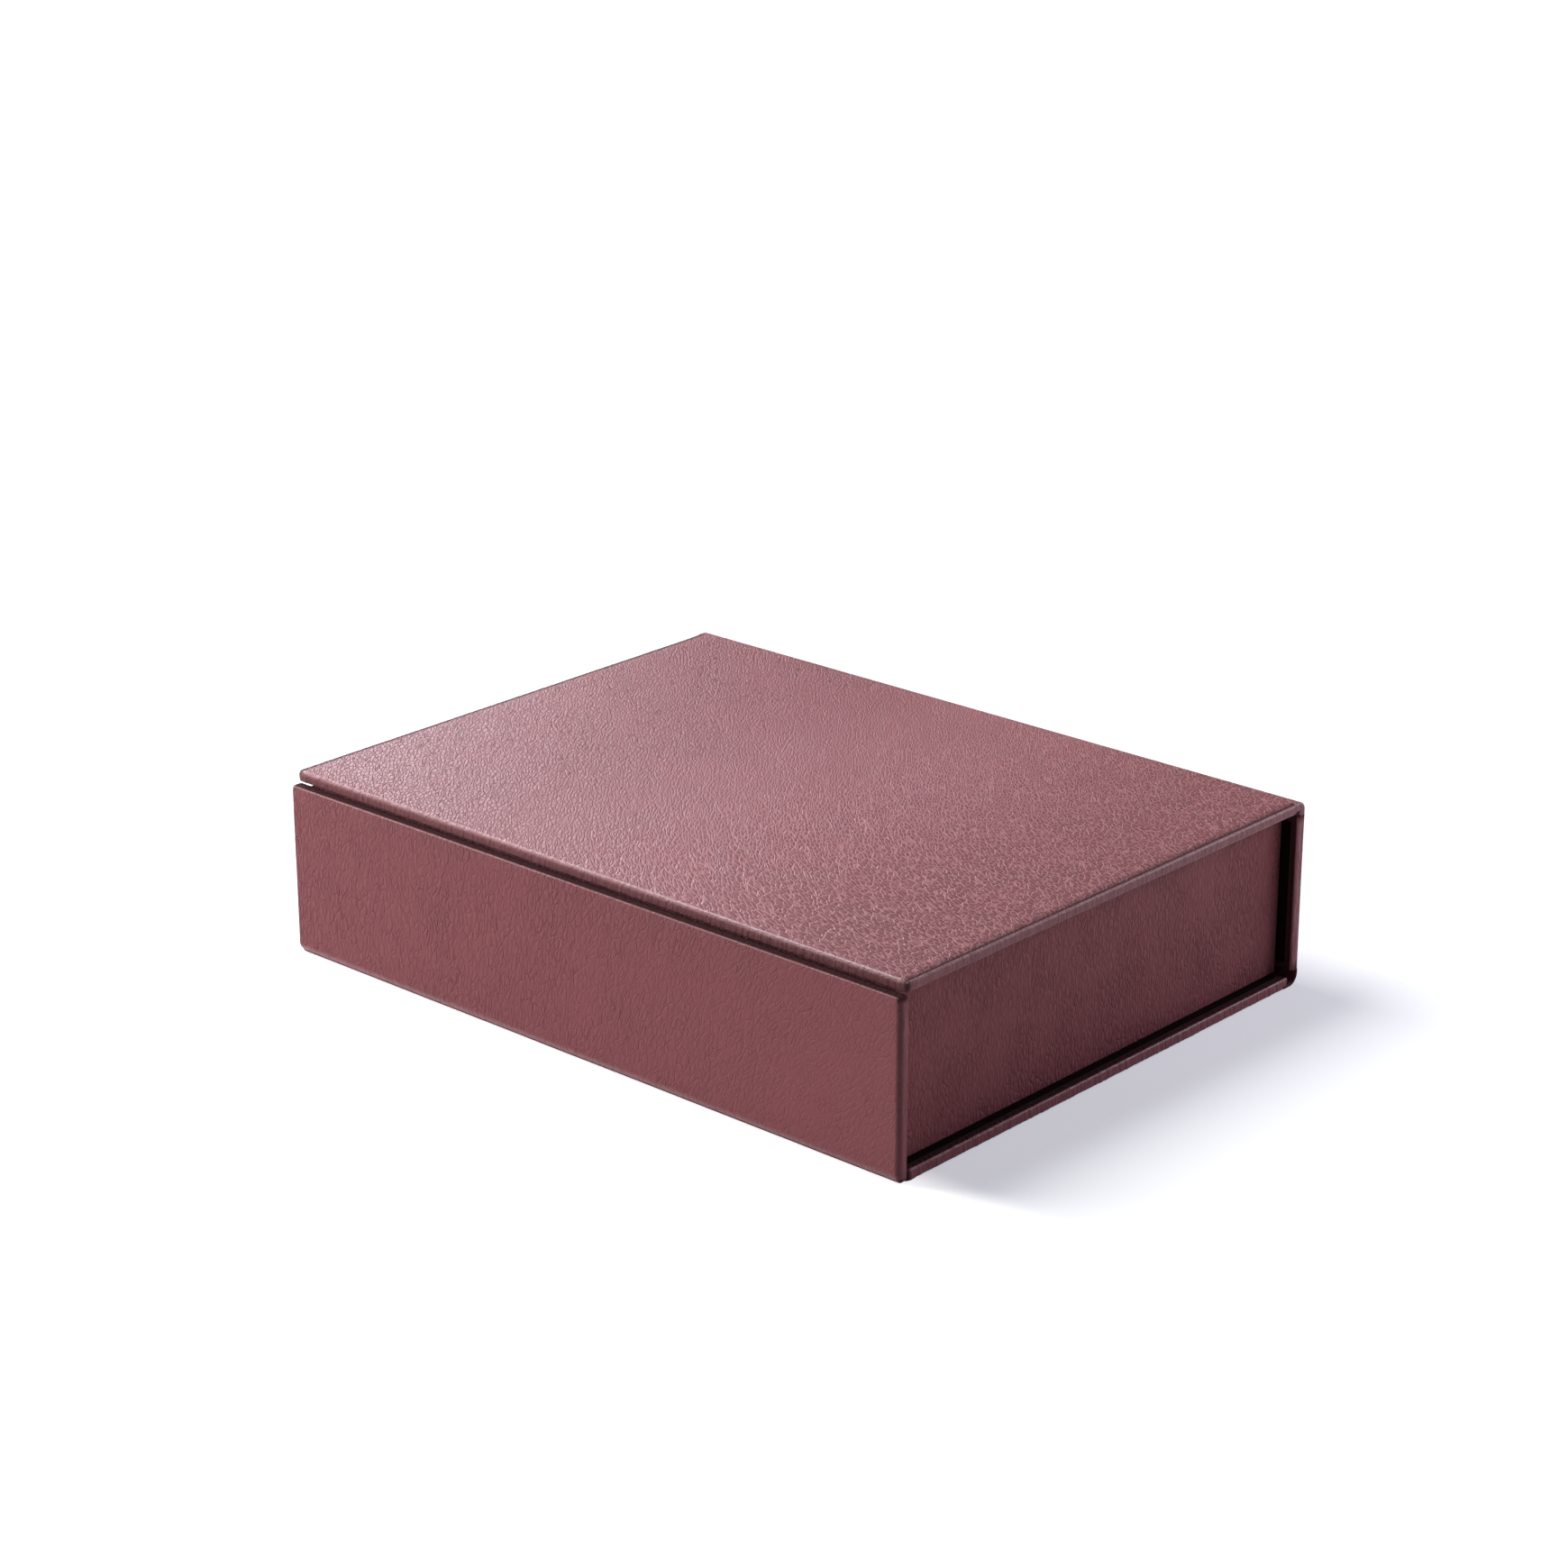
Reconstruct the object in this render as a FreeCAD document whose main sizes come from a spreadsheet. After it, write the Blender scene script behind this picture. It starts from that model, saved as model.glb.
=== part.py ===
import FreeCAD, Part
import math
import os

import Sketcher
from FreeCAD import Placement, Rotation, Vector

# A case-bound leather box: a leather wrap over four boards, folded round a lined tray.
# The closed box stands on its base with its front at -Y and its hinged spine at +Y.
# X runs along the long side, Z is up, and the origin is under the middle of the box.

SIZES = {
    # the closed box, outside
    "case_width": 330.0,
    "case_depth": 252.0,
    "case_height": 80.0,
    # sheet materials
    "case_board": 3.0,
    "tray_board": 3.0,
    "floor_board": 2.0,
    "leather": 1.0,
    "tray_lining": 0.8,
    # leather left showing round the linings of the case, and turned over the rim of the tray
    "lining_margin": 3.0,
    "rim_turn_in": 10.0,
    # roundings of the wrapped edges, of the foot of the front and of the two hinges
    "edge_round": 1.8,
    "foot_round": 4.5,
    "upper_bend": 3.5,
    "lower_bend": 5.0,
    # how far the lid's front edge stands behind the front face
    "lid_setback": 3.8,
    # gaps under the closed lid, over the front panel and over the rim of the tray
    "front_gap": 0.8,
    "rim_gap": 0.3,
    # how far the wrapped edges at the hinges stand clear of their neighbour's inner face
    "lid_rear_clear": 1.4,
    "spine_top_clear": 0.6,
    "spine_foot_clear": 1.5,
    "base_rear_clear": 1.5,
    # the tray inside the case
    "tray_recess": 7.3,
    "tray_back_clear": 0.5,
}

doc = FreeCAD.newDocument("leather_box")
sheet = doc.addObject("Spreadsheet::Sheet", "Sizes")
for row, (name, value) in enumerate(SIZES.items(), start=1):
    sheet.set(f"A{row}", name)
    sheet.set(f"B{row}", str(value))
    sheet.setAlias(f"B{row}", name)
doc.recompute()

# Places that several pieces share, as expressions on the sheet.
SKIN = "Sizes.leather"
HALF_WIDTH = "(Sizes.case_width / 2)"
FRONT_FACE = "(-Sizes.case_depth / 2)"
BACK_FACE = "(Sizes.case_depth / 2)"
COVER = "(Sizes.case_board + 2 * Sizes.leather)"
LID_UNDERSIDE = f"(Sizes.case_height - {COVER})"
LID_FRONT = f"({FRONT_FACE} + Sizes.lid_setback)"
LID_REAR = f"({BACK_FACE} - {COVER} - Sizes.lid_rear_clear)"
FRONT_INSIDE = f"({FRONT_FACE} + {COVER})"
FRONT_TOP = f"({LID_UNDERSIDE} - Sizes.front_gap)"
SPINE_INSIDE = f"({BACK_FACE} - {COVER})"
SPINE_FOOT = f"({COVER} + Sizes.spine_foot_clear)"
SPINE_TOP = f"({LID_UNDERSIDE} - Sizes.spine_top_clear)"
BASE_REAR = f"({BACK_FACE} - {COVER} - Sizes.base_rear_clear)"

TRAY_SIDE = f"({HALF_WIDTH} - Sizes.tray_recess)"
TRAY_BACK = f"({SPINE_INSIDE} - Sizes.tray_back_clear)"
TRAY_RIM = f"({LID_UNDERSIDE} - Sizes.rim_gap)"
WALL_TOP = f"({TRAY_RIM} - {SKIN})"
SIDE_WALL_OUT = f"({TRAY_SIDE} - {SKIN})"
SIDE_WALL_IN = f"({SIDE_WALL_OUT} - Sizes.tray_board)"
BACK_WALL_OUT = f"({TRAY_BACK} - {SKIN})"
BACK_WALL_IN = f"({BACK_WALL_OUT} - Sizes.tray_board)"
FRONT_WALL_IN = f"({FRONT_INSIDE} + Sizes.tray_board)"
FLOOR_TOP = f"({COVER} + Sizes.floor_board)"
FLOOR_LINED = f"({FLOOR_TOP} + Sizes.tray_lining)"
LIP_FOOT = f"({TRAY_RIM} - Sizes.rim_turn_in)"

nodes = []


def across(half):
    """A span from left to right of the middle plane."""
    return f"-{half}", half


def add_node(piece, label):
    piece.Label = label
    nodes.append(piece)
    return piece


def set_block(piece, names, spans):
    """Bind a block's three sizes and its lowest corner to pairs of expressions."""
    for name, axis, (low, high) in zip(names, "xyz", spans):
        if name:
            piece.setExpression(name, f"{high} - ({low})")
        piece.setExpression(f"Placement.Base.{axis}", low)


def box(name, x, y, z):
    """A plain sheet or board between pairs of expressions along x, y and z."""
    piece = doc.addObject("Part::Box", name)
    set_block(piece, ("Length", "Width", "Height"), (x, y, z))
    return piece


def attach(sketch, body, role):
    """Lay a sketch on one of its own body's origin planes."""
    plane = next(item for item in body.Origin.OriginFeatures if item.Role == role)
    sketch.AttachmentSupport = [(plane, "")]
    sketch.MapMode = "FlatFace"


def rectangle(sketch, width, depth):
    """A rectangle from the sketch's origin, its two sides bound to expressions."""
    corners = [Vector(0, 0, 0), Vector(1, 0, 0), Vector(1, 1, 0), Vector(0, 1, 0)]
    for number, corner in enumerate(corners):
        sketch.addGeometry(Part.LineSegment(corner, corners[(number + 1) % 4]))
    for number in range(4):
        sketch.addConstraint(Sketcher.Constraint("Coincident", number, 2, (number + 1) % 4, 1))
    for direction, line in (("Horizontal", 0), ("Vertical", 1), ("Horizontal", 2), ("Vertical", 3)):
        sketch.addConstraint(Sketcher.Constraint(direction, line))
    sketch.addConstraint(Sketcher.Constraint("Coincident", 0, 1, -1, 1))
    for name, line, length in (("width", 0, width), ("depth", 1, depth)):
        number = sketch.addConstraint(Sketcher.Constraint("Distance", line, 1.0))
        sketch.renameConstraint(number, name)
        sketch.setExpression(f"Constraints.{name}", length)


def pad_on(body, sketch, length):
    pad = body.newObject("PartDesign::Pad", f"{body.Name}_pad")
    pad.Profile = sketch
    pad.setExpression("Length", length)
    doc.recompute()
    return pad


def edges_between(feature, pairs):
    """Names of the edges of a block that lie on both sides of each pair."""
    around = feature.Shape.BoundBox
    sides = {
        "left": (0, around.XMin),
        "right": (0, around.XMax),
        "front": (1, around.YMin),
        "back": (1, around.YMax),
        "bottom": (2, around.ZMin),
        "top": (2, around.ZMax),
    }
    names = []
    for number, edge in enumerate(feature.Shape.Edges, start=1):
        middle = edge.CenterOfMass
        for pair in pairs:
            if all(abs(middle[axis] - place) < 1e-6 for axis, place in map(sides.get, pair)):
                names.append(f"Edge{number}")
    return names


def rounded_block(name, x, y, z, rounds):
    """A board or wrapped form with some of its edges rounded."""
    body = doc.addObject("PartDesign::Body", name)
    sketch = body.newObject("Sketcher::SketchObject", f"{name}_outline")
    attach(sketch, body, "XY_Plane")
    rectangle(sketch, f"{x[1]} - ({x[0]})", f"{y[1]} - ({y[0]})")
    last = pad_on(body, sketch, f"{z[1]} - ({z[0]})")
    for pairs, radius in rounds:
        fillet = body.newObject("PartDesign::Fillet", f"{name}_round")
        fillet.Base = (last, edges_between(last, pairs))
        fillet.setExpression("Radius", radius)
        doc.recompute()
        last = fillet
    set_block(body, (None, None, None), (x, y, z))
    return body


def round_foot(body, radius):
    """Take the sharp corner off the front lower edge of a block, along its whole width."""
    sketch = body.newObject("Sketcher::SketchObject", f"{body.Name}_foot")
    attach(sketch, body, "YZ_Plane")
    drawn = 1.0
    circle = Part.Circle(Vector(drawn, drawn, 0), Vector(0, 0, 1), drawn)
    sketch.addGeometry(Part.LineSegment(Vector(0, 0, 0), Vector(drawn, 0, 0)))
    sketch.addGeometry(Part.ArcOfCircle(circle, math.pi, 1.5 * math.pi))
    sketch.addGeometry(Part.LineSegment(Vector(0, drawn, 0), Vector(0, 0, 0)))
    below, arc, before = range(3)
    sketch.addConstraint(Sketcher.Constraint("Coincident", below, 1, -1, 1))
    sketch.addConstraint(Sketcher.Constraint("Coincident", before, 2, -1, 1))
    sketch.addConstraint(Sketcher.Constraint("Horizontal", below))
    sketch.addConstraint(Sketcher.Constraint("Vertical", before))
    sketch.addConstraint(Sketcher.Constraint("Tangent", below, 2, arc, 2))
    sketch.addConstraint(Sketcher.Constraint("Tangent", arc, 1, before, 1))
    number = sketch.addConstraint(Sketcher.Constraint("Radius", arc, drawn))
    sketch.renameConstraint(number, "radius")
    sketch.setExpression("Constraints.radius", radius)
    uncut = body.Shape.Volume
    pocket = body.newObject("PartDesign::Pocket", f"{body.Name}_foot_cut")
    pocket.Profile = sketch
    pocket.Type = "ThroughAll"
    pocket.Reversed = True
    doc.recompute()
    if body.Shape.Volume >= uncut:
        raise RuntimeError(f"the foot of {body.Name} was not cut")
    return body


def wrapped(form, *filling):
    """Leather round a board: the outer form less the board and the lining inside it."""
    for piece in filling:
        cut = doc.addObject("Part::Cut", f"{form.Name}_less_{piece.Name}")
        cut.Base = form
        cut.Tool = piece
        form = cut
    return form


def joined(name, *sheets):
    """Leather folded over an edge: flat sheets that meet face to face, as one piece."""
    fold = doc.addObject("Part::MultiFuse", name)
    fold.Shapes = list(sheets)
    return fold


def hinge_strip(name, bend, flat_leg, tall_leg):
    """Leather bent through a quarter turn, with a short leg glued to each side of the hinge.

    The bend is round X, which runs through the body's origin. The flat leg runs to -Y below it
    and the tall leg runs up behind it.
    """
    body = doc.addObject("PartDesign::Body", name)
    sketch = body.newObject("Sketcher::SketchObject", f"{name}_profile")
    attach(sketch, body, "YZ_Plane")
    outer, inner, leg = 3.0, 2.0, 1.0
    for radius in (outer, inner):
        circle = Part.Circle(Vector(0, 0, 0), Vector(0, 0, 1), radius)
        sketch.addGeometry(Part.ArcOfCircle(circle, -math.pi / 2, 0))
    tall = [(outer, 0), (outer, leg), (inner, leg), (inner, 0)]
    flat = [(0, -inner), (-leg, -inner), (-leg, -outer), (0, -outer)]
    for run in (tall, flat):
        for start, end in zip(run, run[1:]):
            sketch.addGeometry(Part.LineSegment(Vector(*start, 0), Vector(*end, 0)))
    outer_arc, inner_arc, tall_out, tall_end, tall_in, flat_in, flat_end, flat_out = range(8)
    for arc in (outer_arc, inner_arc):
        sketch.addConstraint(Sketcher.Constraint("Coincident", arc, 3, -1, 1))
        sketch.addConstraint(Sketcher.Constraint("PointOnObject", arc, 1, -2))
        sketch.addConstraint(Sketcher.Constraint("PointOnObject", arc, 2, -1))
    meetings = [
        (outer_arc, 2, tall_out, 1), (tall_out, 2, tall_end, 1), (tall_end, 2, tall_in, 1),
        (tall_in, 2, inner_arc, 2), (inner_arc, 1, flat_in, 1), (flat_in, 2, flat_end, 1),
        (flat_end, 2, flat_out, 1), (flat_out, 2, outer_arc, 1),
    ]
    for meeting in meetings:
        sketch.addConstraint(Sketcher.Constraint("Coincident", *meeting))
    for line in (tall_out, tall_in, flat_end):
        sketch.addConstraint(Sketcher.Constraint("Vertical", line))
    for line in (tall_end, flat_in, flat_out):
        sketch.addConstraint(Sketcher.Constraint("Horizontal", line))
    sizes = [
        ("outside", "Radius", outer_arc, outer, bend),
        ("inside", "Radius", inner_arc, inner, f"{bend} - {SKIN}"),
        ("tall_leg", "Distance", tall_out, leg, f"{tall_leg} - {bend}"),
        ("flat_leg", "Distance", flat_out, leg, f"{flat_leg} - {bend}"),
    ]
    for label, kind, geometry, value, length in sizes:
        number = sketch.addConstraint(Sketcher.Constraint(kind, geometry, value))
        sketch.renameConstraint(number, label)
        sketch.setExpression(f"Constraints.{label}", length)
    pad_on(body, sketch, "Sizes.case_width")
    return body


# Wrapped panels of the case. Each has a board, a lining on its inner face and a leather cover.
FULL_WIDTH = across(HALF_WIDTH)
BOARD_WIDTH = across(f"({HALF_WIDTH} - {SKIN})")
LINED_WIDTH = across(f"({HALF_WIDTH} - Sizes.lining_margin)")
END_EDGES = [(end, side) for end in ("left", "right") for side in ("bottom", "top")]
END_CORNERS = [(end, side) for end in ("left", "right") for side in ("front", "back")]

# Lid: rounded all round except at its rear end, where the hinge leather carries on flush.
lid_board = box(
    "lid_board",
    BOARD_WIDTH,
    (f"{LID_FRONT} + {SKIN}", f"{LID_REAR} - {SKIN}"),
    (f"{LID_UNDERSIDE} + {SKIN}", f"Sizes.case_height - {SKIN}"),
)
lid_lining = box(
    "lid_lining",
    LINED_WIDTH,
    (f"{LID_FRONT} + Sizes.lining_margin", f"{LID_REAR} - Sizes.lining_margin"),
    (LID_UNDERSIDE, f"{LID_UNDERSIDE} + {SKIN}"),
)
lid_front_edges = [("front", "top"), ("front", "bottom"), ("front", "left"), ("front", "right")]
lid_form = rounded_block(
    "lid_form",
    FULL_WIDTH,
    (LID_FRONT, LID_REAR),
    (LID_UNDERSIDE, "Sizes.case_height"),
    [(END_EDGES + lid_front_edges, "Sizes.edge_round")],
)
add_node(lid_board, "lid_board")
add_node(lid_lining, "lid_lining")
add_node(wrapped(lid_form, lid_board, lid_lining), "lid_leather")

# Spine: rounded at its two ends, flush with the hinge leather at its head and foot.
spine_board = box(
    "spine_board",
    BOARD_WIDTH,
    (f"{SPINE_INSIDE} + {SKIN}", f"{BACK_FACE} - {SKIN}"),
    (f"{SPINE_FOOT} + {SKIN}", f"{SPINE_TOP} - {SKIN}"),
)
spine_lining = box(
    "spine_lining",
    LINED_WIDTH,
    (SPINE_INSIDE, f"{SPINE_INSIDE} + {SKIN}"),
    (f"{SPINE_FOOT} + Sizes.lining_margin", f"{SPINE_TOP} - Sizes.lining_margin"),
)
spine_form = rounded_block(
    "spine_form",
    FULL_WIDTH,
    (SPINE_INSIDE, BACK_FACE),
    (SPINE_FOOT, SPINE_TOP),
    [(END_CORNERS, "Sizes.edge_round")],
)
add_node(spine_board, "spine_board")
add_node(spine_lining, "spine_lining")
add_node(wrapped(spine_form, spine_board, spine_lining), "spine_leather")

# Base: its board butts against the front panel, and its leather is turned up over both ends.
base_board = box(
    "base_board",
    BOARD_WIDTH,
    (FRONT_INSIDE, f"{BASE_REAR} - {SKIN}"),
    (SKIN, f"{COVER} - {SKIN}"),
)
base_lining = box(
    "base_lining",
    LINED_WIDTH,
    (FRONT_INSIDE, f"{BASE_REAR} - Sizes.lining_margin"),
    (f"{COVER} - {SKIN}", COVER),
)
base_form = rounded_block(
    "base_form",
    FULL_WIDTH,
    (FRONT_INSIDE, BASE_REAR),
    ("0", COVER),
    [(END_EDGES, "Sizes.edge_round")],
)
add_node(base_board, "base_board")
add_node(base_lining, "base_lining")
add_node(wrapped(base_form, base_board, base_lining), "base_leather")

# Front: its foot is rounded where the leather bends under into the base. The rounding leaves
# at least a narrow flat under the board and under the leather.
FOOT_FLAT = "0.2"
front_board = rounded_block(
    "front_board_block",
    BOARD_WIDTH,
    (f"{FRONT_FACE} + {SKIN}", f"{FRONT_INSIDE} - {SKIN}"),
    (SKIN, f"{FRONT_TOP} - {SKIN}"),
    [],
)
round_foot(front_board, f"min(Sizes.foot_round - {SKIN}; Sizes.case_board - {FOOT_FLAT})")
front_lining = box(
    "front_lining",
    LINED_WIDTH,
    (f"{FRONT_INSIDE} - {SKIN}", FRONT_INSIDE),
    (COVER, f"{FRONT_TOP} - Sizes.lining_margin"),
)
front_edges = END_CORNERS + [(side, "top") for side in ("left", "right", "front", "back")]
front_form = rounded_block(
    "front_form",
    FULL_WIDTH,
    (FRONT_FACE, FRONT_INSIDE),
    ("0", FRONT_TOP),
    [(front_edges, "Sizes.edge_round")],
)
round_foot(front_form, f"min(Sizes.foot_round; {COVER} - {FOOT_FLAT})")
add_node(front_board, "front_board")
add_node(front_lining, "front_lining")
add_node(wrapped(front_form, front_board, front_lining), "front_leather")

# Hinges: the wrap's leather bridges the open corners behind the base and behind the lid.
lower_hinge = hinge_strip(
    "lower_hinge",
    "Sizes.lower_bend",
    f"({COVER} + Sizes.base_rear_clear)",
    f"({COVER} + Sizes.spine_foot_clear)",
)
lower_hinge.setExpression("Placement.Base.x", f"-{HALF_WIDTH}")
lower_hinge.setExpression("Placement.Base.y", f"{BACK_FACE} - Sizes.lower_bend")
lower_hinge.setExpression("Placement.Base.z", "Sizes.lower_bend")
add_node(lower_hinge, "lower_hinge_leather")

upper_hinge = hinge_strip(
    "upper_hinge",
    "Sizes.upper_bend",
    f"({COVER} + Sizes.lid_rear_clear)",
    f"({COVER} + Sizes.spine_top_clear)",
)
upper_hinge.Placement = Placement(Vector(), Rotation(Vector(0, 1, 0), 180))
upper_hinge.setExpression("Placement.Base.x", HALF_WIDTH)
upper_hinge.setExpression("Placement.Base.y", f"{BACK_FACE} - Sizes.upper_bend")
upper_hinge.setExpression("Placement.Base.z", "Sizes.case_height - Sizes.upper_bend")
add_node(upper_hinge, "upper_hinge_leather")

# Tray: a floor between four walls, with the end walls the full depth of the tray.
WALL_HEIGHT = (COVER, WALL_TOP)
BETWEEN_ENDS = across(SIDE_WALL_IN)
BETWEEN_WALLS = (FRONT_WALL_IN, BACK_WALL_IN)
END_WALL_DEPTH = (FRONT_INSIDE, BACK_WALL_OUT)
RIM_HEIGHT = (WALL_TOP, TRAY_RIM)
LIP_HEIGHT = (LIP_FOOT, TRAY_RIM)
LINING_HEIGHT = (FLOOR_LINED, LIP_FOOT)
BETWEEN_LIPS = across(f"({SIDE_WALL_IN} - {SKIN})")
BETWEEN_LININGS = across(f"({SIDE_WALL_IN} - Sizes.tray_lining)")

add_node(box("floor_board", BETWEEN_ENDS, BETWEEN_WALLS, (COVER, FLOOR_TOP)), "tray_floor_board")
add_node(box("floor_lining", BETWEEN_ENDS, BETWEEN_WALLS, (FLOOR_TOP, FLOOR_LINED)), "tray_floor_lining")

# Front and back walls, each with its leather rim and its lining. The back wall's leather
# also covers its outer face. The front wall's outer face is glued to the front panel.
front_wall_depth = (FRONT_INSIDE, FRONT_WALL_IN)
add_node(box("front_wall", BETWEEN_ENDS, front_wall_depth, WALL_HEIGHT), "tray_front_wall")
front_fold = joined(
    "front_fold",
    box("front_rim", BETWEEN_ENDS, front_wall_depth, RIM_HEIGHT),
    box("front_lip", BETWEEN_LIPS, (FRONT_WALL_IN, f"{FRONT_WALL_IN} + {SKIN}"), LIP_HEIGHT),
)
add_node(front_fold, "tray_front_leather")
front_lining_depth = (FRONT_WALL_IN, f"{FRONT_WALL_IN} + Sizes.tray_lining")
add_node(box("front_wall_lining", BETWEEN_LININGS, front_lining_depth, LINING_HEIGHT), "tray_front_lining")

back_wall_depth = (BACK_WALL_IN, BACK_WALL_OUT)
add_node(box("back_wall", BETWEEN_ENDS, back_wall_depth, WALL_HEIGHT), "tray_back_wall")
back_fold = joined(
    "back_fold",
    box("back_skin", across(SIDE_WALL_OUT), (BACK_WALL_OUT, TRAY_BACK), (COVER, TRAY_RIM)),
    box("back_rim", BETWEEN_ENDS, back_wall_depth, RIM_HEIGHT),
    box("back_lip", BETWEEN_LIPS, (f"{BACK_WALL_IN} - {SKIN}", BACK_WALL_IN), LIP_HEIGHT),
)
add_node(back_fold, "tray_back_leather")
back_lining_depth = (f"{BACK_WALL_IN} - Sizes.tray_lining", BACK_WALL_IN)
add_node(box("back_wall_lining", BETWEEN_LININGS, back_lining_depth, LINING_HEIGHT), "tray_back_lining")


def side_span(side, inner, outer):
    """A span between two distances from the middle plane, to the right or to the left."""
    if side == "right":
        return inner, outer
    return f"-({outer})", f"-({inner})"


# End walls, alike on the left and on the right.
for side in ("left", "right"):
    wall_span = side_span(side, SIDE_WALL_IN, SIDE_WALL_OUT)
    skin_span = side_span(side, SIDE_WALL_OUT, TRAY_SIDE)
    lip_span = side_span(side, f"{SIDE_WALL_IN} - {SKIN}", SIDE_WALL_IN)
    lining_span = side_span(side, f"{SIDE_WALL_IN} - Sizes.tray_lining", SIDE_WALL_IN)
    add_node(box(f"{side}_wall", wall_span, END_WALL_DEPTH, WALL_HEIGHT), f"tray_{side}_wall")
    fold = joined(
        f"{side}_fold",
        box(f"{side}_skin", skin_span, (FRONT_INSIDE, TRAY_BACK), (COVER, TRAY_RIM)),
        box(f"{side}_rim", wall_span, END_WALL_DEPTH, RIM_HEIGHT),
        box(f"{side}_lip", lip_span, BETWEEN_WALLS, LIP_HEIGHT),
    )
    add_node(fold, f"tray_{side}_leather")
    add_node(box(f"{side}_wall_lining", lining_span, BETWEEN_WALLS, LINING_HEIGHT), f"tray_{side}_lining")

doc.recompute()

for item in doc.Objects:
    if "Invalid" in item.State or "Error" in item.State:
        raise RuntimeError(f"{item.Label} failed: {item.State}")
for node in nodes:
    if node.Shape.isNull() or not node.Shape.isValid() or len(node.Shape.Solids) != 1:
        raise RuntimeError(f"{node.Label} is not one valid solid")

os.makedirs("parts", exist_ok=True)
for node in nodes:
    node.Shape.exportStep(f"parts/{node.Label}.step")
    print(f"{node.Label}: {node.Shape.Volume:.1f} mm3")
print(f"{len(nodes)} pieces")
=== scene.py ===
# %% [markdown]
# A leather box that opens like a book. Four stiff boards share one leather wrap, and a lined tray sits
# on the base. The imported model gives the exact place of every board, so this lesson builds the soft
# skin round them in the same frame, in metres, with nothing to fit by eye.

# %% Load the frame
from math import cos, degrees, pi, radians, sin
from types import SimpleNamespace

import bpy
from mathutils import Euler, Matrix, Vector


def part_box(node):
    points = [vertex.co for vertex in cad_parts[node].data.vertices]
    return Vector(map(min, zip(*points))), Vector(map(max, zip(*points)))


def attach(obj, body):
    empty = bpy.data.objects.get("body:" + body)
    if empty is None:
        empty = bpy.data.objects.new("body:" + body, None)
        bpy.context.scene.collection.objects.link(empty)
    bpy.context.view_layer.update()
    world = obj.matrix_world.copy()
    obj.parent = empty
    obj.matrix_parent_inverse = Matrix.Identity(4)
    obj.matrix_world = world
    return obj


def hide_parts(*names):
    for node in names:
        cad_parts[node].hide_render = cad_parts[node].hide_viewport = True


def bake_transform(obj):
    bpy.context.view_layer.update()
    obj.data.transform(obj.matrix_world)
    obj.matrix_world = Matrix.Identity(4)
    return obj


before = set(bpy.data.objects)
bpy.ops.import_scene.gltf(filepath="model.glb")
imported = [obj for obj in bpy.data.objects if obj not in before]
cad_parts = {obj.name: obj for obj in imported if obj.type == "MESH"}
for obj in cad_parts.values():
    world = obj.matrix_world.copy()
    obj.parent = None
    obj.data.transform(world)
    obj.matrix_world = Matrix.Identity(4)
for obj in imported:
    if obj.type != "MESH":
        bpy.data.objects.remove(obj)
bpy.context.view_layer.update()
MM = 0.001

# %% [markdown]
# Node trees are easier to read as sums than as pictures. A Wire is one output of a node, and arithmetic
# on Wires adds Math nodes. A Graph owns the tree, and its add method makes every other node: the
# settings come first, because they decide which sockets the node has.

# %% A wire that can be added and multiplied
class Wire:
    """One output socket of a node, usable in Python arithmetic."""

    def __init__(self, graph, socket):
        self.graph = graph
        self.socket = socket

    def do(self, operation, *others):
        return self.graph.sum(operation, self, *others)

    def at_least(self, other):
        return self.do("MAXIMUM", other)

    def at_most(self, other):
        return self.do("MINIMUM", other)

    def __add__(self, other):
        return self.do("ADD", other)

    __radd__ = __add__

    def __sub__(self, other):
        return self.do("SUBTRACT", other)

    def __rsub__(self, other):
        return self.graph.sum("SUBTRACT", other, self)

    def __mul__(self, other):
        return self.do("MULTIPLY", other)

    __rmul__ = __mul__

    def __truediv__(self, other):
        return self.do("DIVIDE", other)

    def __rtruediv__(self, other):
        return self.graph.sum("DIVIDE", other, self)

    def __gt__(self, other):
        return self.do("GREATER_THAN", other)

    def __lt__(self, other):
        return self.do("LESS_THAN", other)

    def __abs__(self):
        return self.do("ABSOLUTE")


print("wires ready")

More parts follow.
